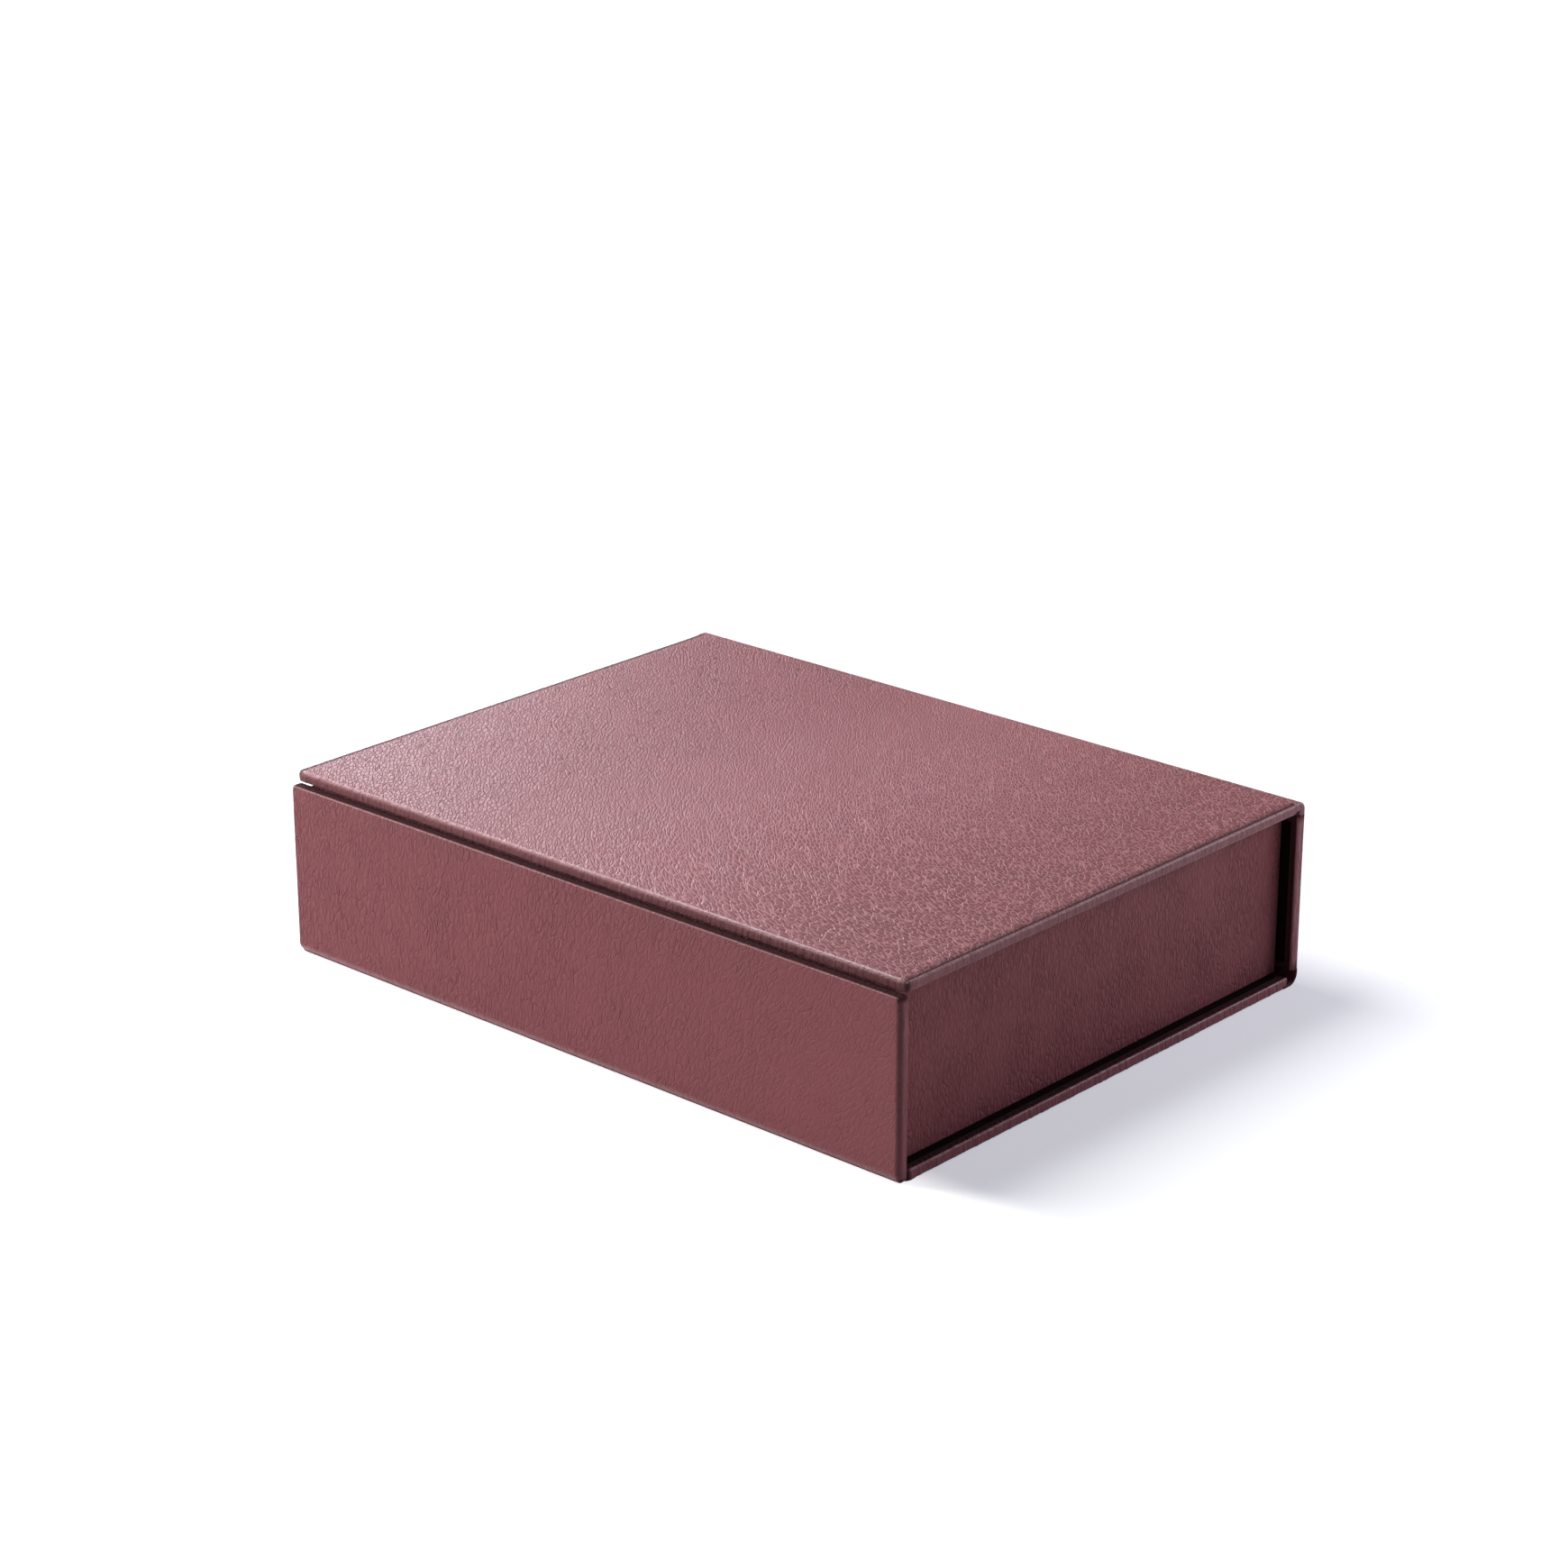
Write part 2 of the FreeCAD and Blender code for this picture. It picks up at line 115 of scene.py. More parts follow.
# %% A graph that makes nodes
class Graph:
    """A node tree with one method that makes a node and a few short forms of it."""

    def __init__(self, tree):
        self.tree = tree
        self.given = {}

    def add(self, kind, settings=None, sockets=None, take=0):
        """Makes a node, sets it up, feeds its sockets by number or by name, and takes one output."""
        node = self.tree.nodes.new(kind)
        for name, value in (settings or {}).items():
            setattr(node, name, value)
        for key, value in (sockets or {}).items():
            if isinstance(key, str):
                socket = next(s for s in node.inputs if s.name == key and s.enabled)
            else:
                socket = node.inputs[key]
            if isinstance(value, Wire):
                self.tree.links.new(value.socket, socket)
            else:
                socket.default_value = value
        return Wire(self, node.outputs[take] if len(node.outputs) else None)

    def sum(self, operation, *values):
        return self.add("ShaderNodeMath", {"operation": operation}, dict(enumerate(values)))

    def vector(self, operation, *values):
        return self.add("ShaderNodeVectorMath", {"operation": operation}, dict(enumerate(values)))

    def scaled(self, vector, factor):
        return self.add("ShaderNodeVectorMath", {"operation": "SCALE"}, {0: vector, "Scale": factor})

    def split(self, vector):
        node = self.add("ShaderNodeSeparateXYZ", None, {0: vector}).socket.node
        return [Wire(self, socket) for socket in node.outputs]

    def joined(self, x, y, z):
        return self.add("ShaderNodeCombineXYZ", None, {0: x, 1: y, 2: z})

    def noise(self, vector, scale, detail):
        return self.add("ShaderNodeTexNoise", None, {"Vector": vector, "Scale": scale, "Detail": detail})

    def ease(self, value, low, high):
        """Goes smoothly from 0 at low to 1 at high."""
        ends = {"Value": value, "From Min": low, "From Max": high}
        return self.add("ShaderNodeMapRange", {"interpolation_type": "SMOOTHSTEP"}, ends)

    # A Mix node has its numbers in sockets 2 and 3, and its colours in sockets 6 and 7 and output 2.
    def pick(self, test, yes, no):
        return self.add("ShaderNodeMix", {"data_type": "FLOAT"}, {0: test, 2: no, 3: yes})

    def tint(self, factor, low, high, blend="MIX"):
        settings = {"data_type": "RGBA", "blend_type": blend}
        return self.add("ShaderNodeMix", settings, {0: factor, 6: low, 7: high}, take=2)


print("node language ready")

# %% [markdown]
# The camera stands where the photograph was taken: about 42 degrees round to the right of the front and
# 20 degrees up. Its place comes from fitting the long straight edges of the box, and the lens is long,
# so the box looks calm and the edges run nearly parallel.

# %% Camera
VIEW_AZIMUTH = 42.008
VIEW_TILT = 20.374
VIEW_DISTANCE = 1.67543
VIEW_TARGET = Vector((-0.07634, 0.07948, 0.040))
SENSOR = 36.0
PHOTO_PIXELS = 1740
FOCAL_PIXELS = 4247.1
LENS = SENSOR * FOCAL_PIXELS / PHOTO_PIXELS


def in_scene(name, data):
    """A new object in the scene, with that name and data."""
    item = bpy.data.objects.new(name, data)
    bpy.context.collection.objects.link(item)
    return item


camera_data = bpy.data.cameras.new("camera")
camera_data.sensor_width = SENSOR
camera_data.lens = LENS
camera = in_scene("camera", camera_data)
camera.rotation_euler = Euler((radians(90 - VIEW_TILT), 0, radians(VIEW_AZIMUTH)))
view_back = camera.rotation_euler.to_matrix() @ Vector((0, 0, 1))
camera.location = VIEW_TARGET + view_back * VIEW_DISTANCE
bpy.context.scene.camera = camera
bpy.context.scene.view_settings.view_transform = "Standard"
print("camera at", [round(v, 3) for v in camera.location], "lens", round(LENS, 1))

# %% [markdown]
# Four lamps make the light. A large soft one stands high on the left, a low one fills the front, a near
# one behind the left corner lays the sheen on the lid, and a weak cool one lifts the right-hand end. The
# sheen could come from a stronger main lamp, but that would bleach the colour of the whole lid. So the
# sheen has a lamp of its own, which is seen only in the gloss.

# %% Lamps
BOX_MIDDLE = (0, 0, 0.04)
LID_LEFT = (-0.10, 0, 0.08)
END_REAR = (0.165, 0.09, 0.04)
PLAIN = (1, 1, 1)
BLUISH = (0.97, 0.97, 1.06)
COOL = (0.88, 0.93, 1.04)


def lamp(name, place, target, power, size, colour=PLAIN, gloss_only=False):
    """A rectangular lamp that faces its target. One that is gloss_only lights no matt surface."""
    data = bpy.data.lights.new(name, "AREA")
    data.shape = "RECTANGLE"
    data.size, data.size_y = size
    data.energy = power
    data.color = colour
    item = in_scene(name, data)
    item.location = place
    aim = Vector(target) - Vector(place)
    item.rotation_euler = aim.to_track_quat("-Z", "Y").to_euler()
    item.visible_diffuse = not gloss_only
    print("lamp", name, power, "W")


lamp("key_lamp", (-0.64, -0.22, 1.34), BOX_MIDDLE, 20.5, (0.80, 0.80))
lamp("fill_lamp", (-1.20, -0.85, 0.30), BOX_MIDDLE, 9, (0.50, 0.40))
lamp("sheen_lamp", (-0.86, 0.34, 0.40), LID_LEFT, 5.4, (0.50, 0.40), BLUISH, gloss_only=True)
lamp("end_lamp", (0.52, 0.70, 0.36), END_REAR, 2.5, (0.45, 0.45), COOL)

# %% [markdown]
# The studio is white all round. A bright world would do that too, and would wash out every shadow on the
# box. Instead Light Path shows the camera a white backdrop that lights nothing. The floor adds a part of
# its white the same way, and more of it far away and in front, so the shadow stays as pale as a studio
# shadow is and falls behind the box.

# %% World
RAYS = ("Is Camera Ray", "Is Glossy Ray", "Is Transmission Ray")
GLOSSY_SHARE = 0.3
WHITE = (1, 1, 1, 1)
AIR = (0.95, 0.97, 1.0, 1)
AIR_STRENGTH = 0.07


def emptied(holder):
    """A Graph on the node tree of a material or a world, with nothing in it yet."""
    holder.use_nodes = True
    holder.node_tree.nodes.clear()
    return Graph(holder.node_tree)


def backdrop_share(graph):
    """All of the white for the camera and through glass, and a part of it in a gloss."""
    path = graph.add("ShaderNodeLightPath").socket.node
    camera_ray, glossy_ray, clear_ray = (Wire(graph, path.outputs[ray]) for ray in RAYS)
    return (camera_ray + clear_ray + GLOSSY_SHARE * glossy_ray).at_most(1)


world = bpy.data.worlds.new("studio")
bpy.context.scene.world = world
sky = emptied(world)
dim_air = sky.add("ShaderNodeBackground", None, {"Color": AIR, "Strength": AIR_STRENGTH})
white_air = sky.add("ShaderNodeBackground", None, {"Color": WHITE, "Strength": 1.0})
seen_air = sky.add("ShaderNodeMixShader", None, {0: backdrop_share(sky), 1: dim_air, 2: white_air})
sky.add("ShaderNodeOutputWorld", None, {"Surface": seen_air})
print("world lights the box at", AIR_STRENGTH)

# %% Floor
PAPER = (0.80, 0.80, 0.80, 1)
NEAR_WHITE = (0.41, 0.415, 0.46, 1)
NO_LIGHT = (0, 0, 0, 1)
WHITE_FROM, WHITE_TO = 0.35, 1.3
AHEAD_FROM, AHEAD_TO = 0.104, 0.128
AHEAD_SHARE = 0.8
FLOOR_REACH = 6.0
FLOOR_LEVEL = -0.2 * MM

floor_material = bpy.data.materials.new("studio_floor")
ground = emptied(floor_material)
paper = ground.add("ShaderNodeBsdfDiffuse", None, {"Color": PAPER})
spot = ground.add("ShaderNodeTexCoord", take="Object")
away = ground.add("ShaderNodeVectorMath", {"operation": "LENGTH"}, {0: spot}, take=1)
ahead = ground.ease(-1 * ground.split(spot)[1], AHEAD_FROM, AHEAD_TO)
own_share = ground.ease(away, WHITE_FROM, WHITE_TO).at_least(AHEAD_SHARE * ahead)
own_colour = ground.tint(own_share, NEAR_WHITE, WHITE)
own_white = ground.add("ShaderNodeEmission", None, {"Color": own_colour, "Strength": 1.0})
no_light = ground.add("ShaderNodeEmission", None, {"Color": NO_LIGHT, "Strength": 0.0})
glow = ground.add("ShaderNodeMixShader", None, {0: backdrop_share(ground), 1: no_light, 2: own_white})
lit_paper = ground.add("ShaderNodeAddShader", None, {0: paper, 1: glow})
ground.add("ShaderNodeOutputMaterial", None, {"Surface": lit_paper})

floor_mesh = bpy.data.meshes.new("studio_floor")
floor_corners = [(x * FLOOR_REACH, y * FLOOR_REACH) for x, y in ((-1, -1), (1, -1), (1, 1), (-1, 1))]
floor_mesh.from_pydata([(x, y, FLOOR_LEVEL) for x, y in floor_corners], [], [(0, 1, 2, 3)])
floor_mesh.materials.append(floor_material)
floor = in_scene("studio_floor", floor_mesh)
print("floor", FLOOR_REACH * 2, "m wide")

# %% [markdown]
# The leather is a full, pebbled hide in a dusty burgundy. Its grain is a net of creases with soft
# pillows between them: a Voronoi texture gives the distance to the nearest crease, and a noise bends
# the net so that no cell is regular. The creases get painted shade. On the upright faces the hide was
# pulled as it was pasted down, so there the cells are long and the creases shallow, and towards the
# right the pull turns. Towards the right of the lid the creases get a painted highlight instead, and
# the tops painted shade. The meshes carry four marks for this finish: gleam for polished edges, which
# are glossier and get a painted highlight, a band mark for turned ends painted lighter as if lit, a
# mark of painted shade for hollows and for edges and faces in the dark, and tight for hide with no
# pebbles.

# %% Net of creases
SPIN_CENTRE = (0.12, 0, 0.04)
WANDER_SCALE = 0.22
WANDER_ROUGHNESS = 0.6
NOISE_MIDDLE = (0.5, 0.5, 0.5)


def crease_net(hide, place, swing, cell, stretch, lean, spin, bend, ragged):
    """The places on the hide, turned, pulled and bent, for the textures of the creases."""
    axis, angle = spin
    swung = {"Vector": place, "Center": SPIN_CENTRE, "Angle": -radians(angle) * swing}
    spun = hide.add("ShaderNodeVectorRotate", {"rotation_type": axis}, swung)
    pull = {"Vector": spun, "Rotation": [radians(tilt) for tilt in lean], "Scale": stretch}
    net = hide.add("ShaderNodeMapping", {"vector_type": "TEXTURE"}, pull)
    waves = {"Vector": net, "Scale": WANDER_SCALE / cell, "Detail": ragged, "Roughness": WANDER_ROUGHNESS}
    wander = hide.add("ShaderNodeTexNoise", None, waves, take=1)
    wander = hide.vector("SUBTRACT", wander, NOISE_MIDDLE)
    return hide.vector("ADD", net, hide.scaled(wander, bend * cell))


print("the net wanders about every", round(1 / WANDER_SCALE, 1), "pebbles")

# %% Creases and pillows
SMALL_SCALE = 2.2
FADING_SCALE = 0.80
PILLOW_REACH = 0.55


def creases(hide, net, cell, crease, fade):
    """The wide creases, the small ones between them and the pillows, each as a height."""
    edges = {"feature": "DISTANCE_TO_EDGE"}
    wide = {"Vector": net, "Scale": 1 / cell, "Randomness": 0.9}
    gap = hide.add("ShaderNodeTexVoronoi", edges, wide)
    close = {"Vector": net, "Scale": SMALL_SCALE / cell, "Randomness": 1.0}
    small_gap = hide.add("ShaderNodeTexVoronoi", edges, close)
    stay = 1 - fade * hide.ease(hide.noise(net, FADING_SCALE / cell, 1.0), 0.36, 0.62)
    line = stay * (1 - hide.ease(gap, 0.0, crease))
    small = (1.3 - stay) * (1 - hide.ease(small_gap, 0.0, 2 * crease))
    return line, small, hide.ease(gap, 0.0, PILLOW_REACH)


print("small creases lie", SMALL_SCALE, "times as close")

# %% Colours and scales of the leather
LEATHER_PALE = (0.305, 0.093, 0.106, 1)
# Painted shade for the creases.
LEATHER_CREASE_SHADE = (0.145, 0.032, 0.037, 1)
# A painted highlight for the crease walls towards the right of the lid.
LEATHER_CREASE_GLINT = (0.52, 0.210, 0.228, 1)
# Painted shade for the pebble tops towards the right of the lid.
LEATHER_TOP_SHADE = (0.190, 0.046, 0.053, 1)
# Painted shade for hollows, for edges turned from the light and for faces in the dark.
LEATHER_PAINTED_SHADE = (0.024, 0.005, 0.006, 1)
# End bands painted lighter, as if lit.
LEATHER_LIT_BAND = (0.345, 0.130, 0.158, 1)
# A painted highlight for polished edges.
LEATHER_EDGE_HIGHLIGHT = (0.660, 0.420, 0.460, 1)
LEATHER_MARKS = ("gleam", "lit_band", "painted_shade", "tight")
# Places along x between which the pull turns, and the lid's tops take on a painted shade.
SWING_FROM, SWING_TO = -0.06, 0.165
# Between these the lid's creases go from painted shade to a painted highlight.
GLINT_FROM, GLINT_TO = -0.10, 0.06
# Scales of the noises, in waves to the metre, and their depths as shares of the relief.
PATCHES = 38.0
PORES = 1300.0
RIPPLES = 620.0
RIPPLE_PULL = (1, 1, 0.2)
PORE_DEPTH = 0.09
RIPPLE_DEPTH = 0.9
print("pores of about", round(1 / PORES / MM, 1), "mm, patches of about", round(1 / PATCHES / MM), "mm")

# %% Leather
COAT_ROUGHNESS = 0.24


def shaded(graph, finish):
    """Ends a material with one shader and its finish."""
    surface = graph.add("ShaderNodeBsdfPrincipled", None, finish)
    graph.add("ShaderNodeOutputMaterial", None, {"Surface": surface})


def leather(
    name, *, cell, stretch, lean, spin, bend, ragged, relief, crease, puff, fine, fade, calm, quiet,
    crease_shade, glint_and_shade, edge_highlight, gloss, rough,
):
    """Makes one leather.

    cell, stretch, lean: width of a pebble, its pull along each axis, its tilt in degrees
    spin: the axis and the angle of a further turn, which grows towards the right
    bend, ragged: how far the net of creases wanders, and how finely
    relief, crease, puff, fine: height, width of a crease, rounding of a pebble, depth of small creases
    fade, calm, quiet: how much the creases die out in short stretches, in patches and towards the right
    crease_shade, glint_and_shade: how much painted shade darkens a crease, and how much a painted
    highlight takes its place towards the right of the lid, with painted shade on the tops there
    edge_highlight, gloss, rough: how much painted highlight a polished edge gets, how much the leather
    mirrors, how rough it is
    """
    material = bpy.data.materials.new(name)
    hide = emptied(material)
    place = hide.add("ShaderNodeTexCoord", take="Object")
    along = hide.split(place)[0]
    swing = hide.ease(along, SWING_FROM, SWING_TO)
    crease_glint = glint_and_shade * hide.ease(along, GLINT_FROM, GLINT_TO)
    net = crease_net(hide, place, swing, cell, stretch, lean, spin, bend, ragged)
    line, small, pillow = creases(hide, net, cell, crease, fade)
    patch = hide.noise(place, PATCHES, 3.0)
    pore = hide.noise(place, PORES, 2.0)
    ripple = hide.noise(hide.vector("MULTIPLY", place, RIPPLE_PULL), RIPPLES, 3.0)
    ripple = hide.ease(ripple, 0.34, 0.66)
    gleam, lit_band, painted_shade, tight = (
        hide.add("ShaderNodeAttribute", {"attribute_name": mark}, take="Fac") for mark in LEATHER_MARKS
    )
    # The grain, which lies flat in calm patches and where the hide is tight.
    worked = (1 - calm * hide.ease(patch, 0.38, 0.64)) * (1 - quiet * swing) * (1 - 0.8 * tight)
    grain = worked * (puff * pillow - line - fine * small)
    height = grain + PORE_DEPTH * pore + RIPPLE_DEPTH * tight * ripple
    bump = hide.add("ShaderNodeBump", None, {"Strength": 1.0, "Distance": relief, "Height": height})
    # The colour: painted shade in the creases, towards the right of the lid a painted highlight in them
    # and painted shade on the tops, a slight mottle, then the marks.
    in_crease = hide.tint(crease_glint, LEATHER_CREASE_SHADE, LEATHER_CREASE_GLINT)
    on_top = hide.tint(glint_and_shade * swing, LEATHER_PALE, LEATHER_TOP_SHADE)
    skin = hide.tint(crease_shade * worked * line, on_top, in_crease)
    mottle = 0.93 + 0.14 * patch
    skin = hide.tint(1.0, skin, hide.joined(mottle, mottle, mottle), "MULTIPLY")
    # Turned ends are painted lighter, as if lit, and less so towards the right.
    lit_band_share = (0.45 + 0.45 * ripple) * (1 - 0.35 * swing) * lit_band
    skin = hide.tint(lit_band_share, skin, LEATHER_LIT_BAND)
    # Polished edges get a painted highlight, weaker towards the right.
    edge_highlight_share = edge_highlight * gleam * (0.35 + 0.65 * ripple) * (1 - 0.5 * swing)
    skin = hide.tint(edge_highlight_share, skin, LEATHER_EDGE_HIGHLIGHT)
    # Hollows, dark edges and faces in the dark get painted shade.
    skin = hide.tint(0.95 * painted_shade, skin, LEATHER_PAINTED_SHADE)
    shaded(hide, {
        "Base Color": skin,
        "Roughness": rough + 0.10 * line + 0.08 * (patch - 0.5) - 0.10 * gleam + 0.30 * painted_shade,
        "Normal": bump,
        "Specular IOR Level": gloss,
        "Coat Weight": 0.5 * gleam.at_least(0.2 * lit_band) * (1 - painted_shade),
        "Coat Roughness": COAT_ROUGHNESS,
    })
    print("leather", name)
    return material


print("marks that a leather reads:", ", ".join(LEATHER_MARKS))

# %% Three leathers
lid_leather = leather(
    "lid_leather", cell=1.46 * MM, stretch=(1, 2.3, 1), lean=(0, 0, 42), spin=("Z_AXIS", 30),
    bend=1.2, ragged=1.5, relief=0.25 * MM, crease=0.15, puff=0.36, fine=0.20, fade=0.30, calm=0.10,
    quiet=0.0, crease_shade=0.88, glint_and_shade=1.0, edge_highlight=0.65, gloss=0.36, rough=0.47,
)
front_leather = leather(
    "front_leather", cell=2.1 * MM, stretch=(1, 1, 2.2), lean=(0, 8, 0), spin=("Y_AXIS", 26),
    bend=2.4, ragged=3.0, relief=0.33 * MM, crease=0.12, puff=0.35, fine=0.35, fade=0.60, calm=0.30,
    quiet=0.55, crease_shade=0.25, glint_and_shade=0.0, edge_highlight=0.40, gloss=0.16, rough=0.46,
)
end_leather = leather(
    "end_leather", cell=1.75 * MM, stretch=(1, 1, 2.6), lean=(0, 0, 0), spin=("X_AXIS", 0),
    bend=2.0, ragged=3.0, relief=0.36 * MM, crease=0.20, puff=0.6, fine=0.25, fade=0.50, calm=0.50,
    quiet=0.0, crease_shade=0.28, glint_and_shade=0.0, edge_highlight=0.45, gloss=0.14, rough=0.46,
)

# %% [markdown]
# The inside is lined. Beside the tray the case lining shows as a strip that is almost black, and the
# tray itself gets a dark brown suede. Suede is a short nap, which hair particles could make one by one.
# At this scale a fine noise in bump and colour does it, with a high roughness and a little sheen, set
# as one number on the shader.

# %% Suede
CUT_EDGE = (0.080, 0.046, 0.044, 1)
NAP = 0.45 * MM
NAP_DEPTH = 0.08 * MM
BRUSH_MARKS = 26.0


def suede(name, dark, light, gloss, sheen):
    """A napped lining, with its cut edges, which the mesh marks with gleam, a little paler."""
    material = bpy.data.materials.new(name)
    cloth = emptied(material)
    place = cloth.add("ShaderNodeTexCoord", take="Object")
    nap = {"Vector": place, "Scale": 1 / NAP, "Detail": 4.0, "Roughness": 0.7}
    fibre = cloth.add("ShaderNodeTexNoise", None, nap)
    brushed = cloth.noise(place, BRUSH_MARKS, 3.0)
    shade = cloth.ease(0.55 * fibre + 0.45 * brushed, 0.32, 0.68)
    bump = cloth.add("ShaderNodeBump", None, {"Strength": 0.7, "Distance": NAP_DEPTH, "Height": fibre})
    gleam = cloth.add("ShaderNodeAttribute", {"attribute_name": "gleam"}, take="Fac")
    shaded(cloth, {
        "Base Color": cloth.tint(0.7 * gleam, cloth.tint(shade, dark, light), CUT_EDGE),
        "Roughness": 0.82 + 0.14 * brushed,
        "Normal": bump,
        "Specular IOR Level": gloss,
        "Sheen Weight": sheen,
        "Sheen Roughness": 0.5,
    })
    print("suede", name)
    return material


case_suede = suede("case_suede", (0.0040, 0.0012, 0.0012, 1), (0.0110, 0.0036, 0.0038, 1), 0.04, 0.0)
tray_suede = suede("tray_suede", (0.020, 0.010, 0.009, 1), (0.045, 0.025, 0.022, 1), 0.2, 0.04)

# %% [markdown]
# Under the leather and the linings lie the boards. They are pressed from waste paper, grey and flecked.
# Their shape in the frame is right as it is, so they only get a material.

# %% Greyboard
PULP_DARK = (0.22, 0.19, 0.16, 1)
PULP_PALE = (0.36, 0.33, 0.28, 1)
FLECKS = 900.0
FLECK_DEPTH = 0.1 * MM


def greyboard(name):
    material = bpy.data.materials.new(name)
    pulp = emptied(material)
    fleck = pulp.noise(pulp.add("ShaderNodeTexCoord", take="Object"), FLECKS, 5.0)
    bump = pulp.add("ShaderNodeBump", None, {"Strength": 0.4, "Distance": FLECK_DEPTH, "Height": fleck})
    shaded(pulp, {
        "Base Color": pulp.tint(pulp.ease(fleck, 0.30, 0.70), PULP_DARK, PULP_PALE),
        "Roughness": 0.80 + 0.15 * fleck,
        "Normal": bump,
    })
    return material


board_pulp = greyboard("board_pulp")
boards = [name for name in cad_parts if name.endswith(("_board", "_wall"))]
for name in boards:
    board_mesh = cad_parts[name].data
    board_mesh.materials.clear()
    board_mesh.materials.append(board_pulp)
print("boards dressed:", len(boards))

# %% [markdown]
# Every panel follows one rule: a soft skin pulled round a stiff board. A Bevel modifier would round all
# its edges alike, so one Geometry Nodes tree makes the panels. It lays the steps of a cube out over the
# board, close together near the edges, and turns each square corner into an arc: first the long edges,
# then the ends, then the corners in plan. Each long edge has a radius of its own, so one that runs on
# into a hinge can stay square.
#
# Near and Far are the two long sides, and End is both short ones. Outer and Inner are the edges of the
# two faces. A Free side ends there, with no hinge. Three inputs say how much painted shade the near
# face, the outer end edges and the inner face get, and Dusk how far in from a side an end is painted
# in shade rather than lit.

# %% Trees with named inputs
def new_tree(name, places, counts, numbers):
    """A tree with inputs of each kind. Every tree also gets a shift, a turn and a material."""
    kinds = {
        "NodeSocketVector": [*places, "Shift", "Turn"], "NodeSocketMaterial": ["Material"],
        "NodeSocketInt": counts, "NodeSocketFloat": numbers,
    }
    tree = bpy.data.node_groups.new(name, "GeometryNodeTree")
    tree.interface.new_socket("Mesh", in_out="OUTPUT", socket_type="NodeSocketGeometry")
    for kind, labels in kinds.items():
        for label in labels:
            tree.interface.new_socket(label, in_out="INPUT", socket_type=kind)
    graph = Graph(tree)
    entry = graph.add("NodeGroupInput").socket.node
    graph.given = {socket.name: Wire(graph, socket) for socket in entry.outputs if socket.name}
    return graph


board_rule = new_tree(
    "wrapped_board", places=["Low", "High"],
    counts=["Long Steps", "Wide Steps", "Thick Steps", "Round Steps"],
    numbers=[
        "Near Outer", "Near Inner", "Far Outer", "Far Inner", "End Outer", "End Inner",
        "Near Corner", "Far Corner", "Near Free", "Far Free", "Shoulder", "Shoulder Width", "Groove",
        "Near Shade", "End Shade", "Inner Shade", "Near Dusk", "Far Dusk",
        "Crinkle Depth", "Crinkle Spacing", "Sway Depth", "Sway Size", "Seed",
    ],
)
print("inputs of a wrapped board:", len(board_rule.given))

# %% Steps of the board
LEAST_ZONE = 0.4 * MM


def stepped_cube(graph, long_steps, wide_steps, thick_steps):
    """A cube from -1 to 1, with so many steps each way."""
    counts = {"Vertices X": long_steps + 1, "Vertices Y": wide_steps + 1, "Vertices Z": thick_steps + 1}
    return graph.add("GeometryNodeMeshCube", None, {"Size": (2, 2, 2), **counts})


def largest(first, *others):
    for other in others:
        first = first.at_least(other)
    return first


def graded(share, steps, rounds, zone, half):
    """Distance from an edge: a few close steps inside the zone, then even ones to the middle."""
    steps_in = (1 - abs(share)) * steps * 0.5
    even = (steps_in - rounds).at_least(0) / (steps * 0.5 - rounds)
    return zone * (steps_in / rounds).at_most(1) + even * (half - zone)


def spread_board(graph):
    """Each point's place on a square board, and its distance from the ends, the sides and the faces."""
    given = graph.given
    x0, y0, z0 = graph.split(given["Low"])
    x1, y1, z1 = graph.split(given["High"])
    u, v, w = graph.split(graph.add("GeometryNodeInputPosition"))
    half_long, half_wide, half_thick = 0.5 * (x1 - x0), 0.5 * (y1 - y0), 0.5 * (z1 - z0)
    at = SimpleNamespace(far=v > 0, outer=w > 0, rise=w * 0.5 + 0.5)
    near_zone = largest(given["Near Outer"], given["Near Inner"], LEAST_ZONE)
    far_zone = largest(given["Far Outer"], given["Far Inner"], LEAST_ZONE)
    end_zone = largest(
        given["End Outer"], given["End Inner"], given["Near Corner"], given["Far Corner"], LEAST_ZONE
    )
    side_zone = graph.pick(at.far, far_zone, near_zone)
    at.to_end = graded(u, given["Long Steps"], given["Round Steps"], end_zone, half_long)
    at.to_side = graded(v, given["Wide Steps"], given["Round Steps"], side_zone, half_wide)
    at.to_face = half_thick * (1 - abs((w * (pi / 2)).do("SINE")))
    at.end_sign = u.do("SIGN")
    at.side_sign = at.far * 2 - 1
    at.face_sign = at.outer * 2 - 1
    at.x = 0.5 * (x0 + x1) + at.end_sign * (half_long - at.to_end)
    at.y = 0.5 * (y0 + y1) + at.side_sign * (half_wide - at.to_side)
    at.z = 0.5 * (z0 + z1) + at.face_sign * (half_thick - at.to_face)
    return at


point = spread_board(board_rule)
print("board spread with", len(board_rule.tree.nodes), "nodes")

# %% Rounded edges and corners
LEAST_RADIUS = 0.01 * MM
LEAST_REACH = 0.0001


def round_corner(p, q, p_gap, q_gap, p_sign, q_sign, radius):
    """Turns the square corner of a section into an arc. Also gives the arris, strongest half way round
    the arc, and the share of the way from the q face to the p face."""
    a = (1 - p_gap / radius).at_least(0)
    b = (1 - q_gap / radius).at_least(0)
    reach = (a * a + b * b).do("SQRT").at_least(LEAST_REACH)
    pull = radius * (a.at_least(b) / reach - 1)
    arris = 2 * a * b / (reach * reach)
    return p + p_sign * a * pull, q + q_sign * b * pull, arris, a / (a + b + LEAST_REACH)


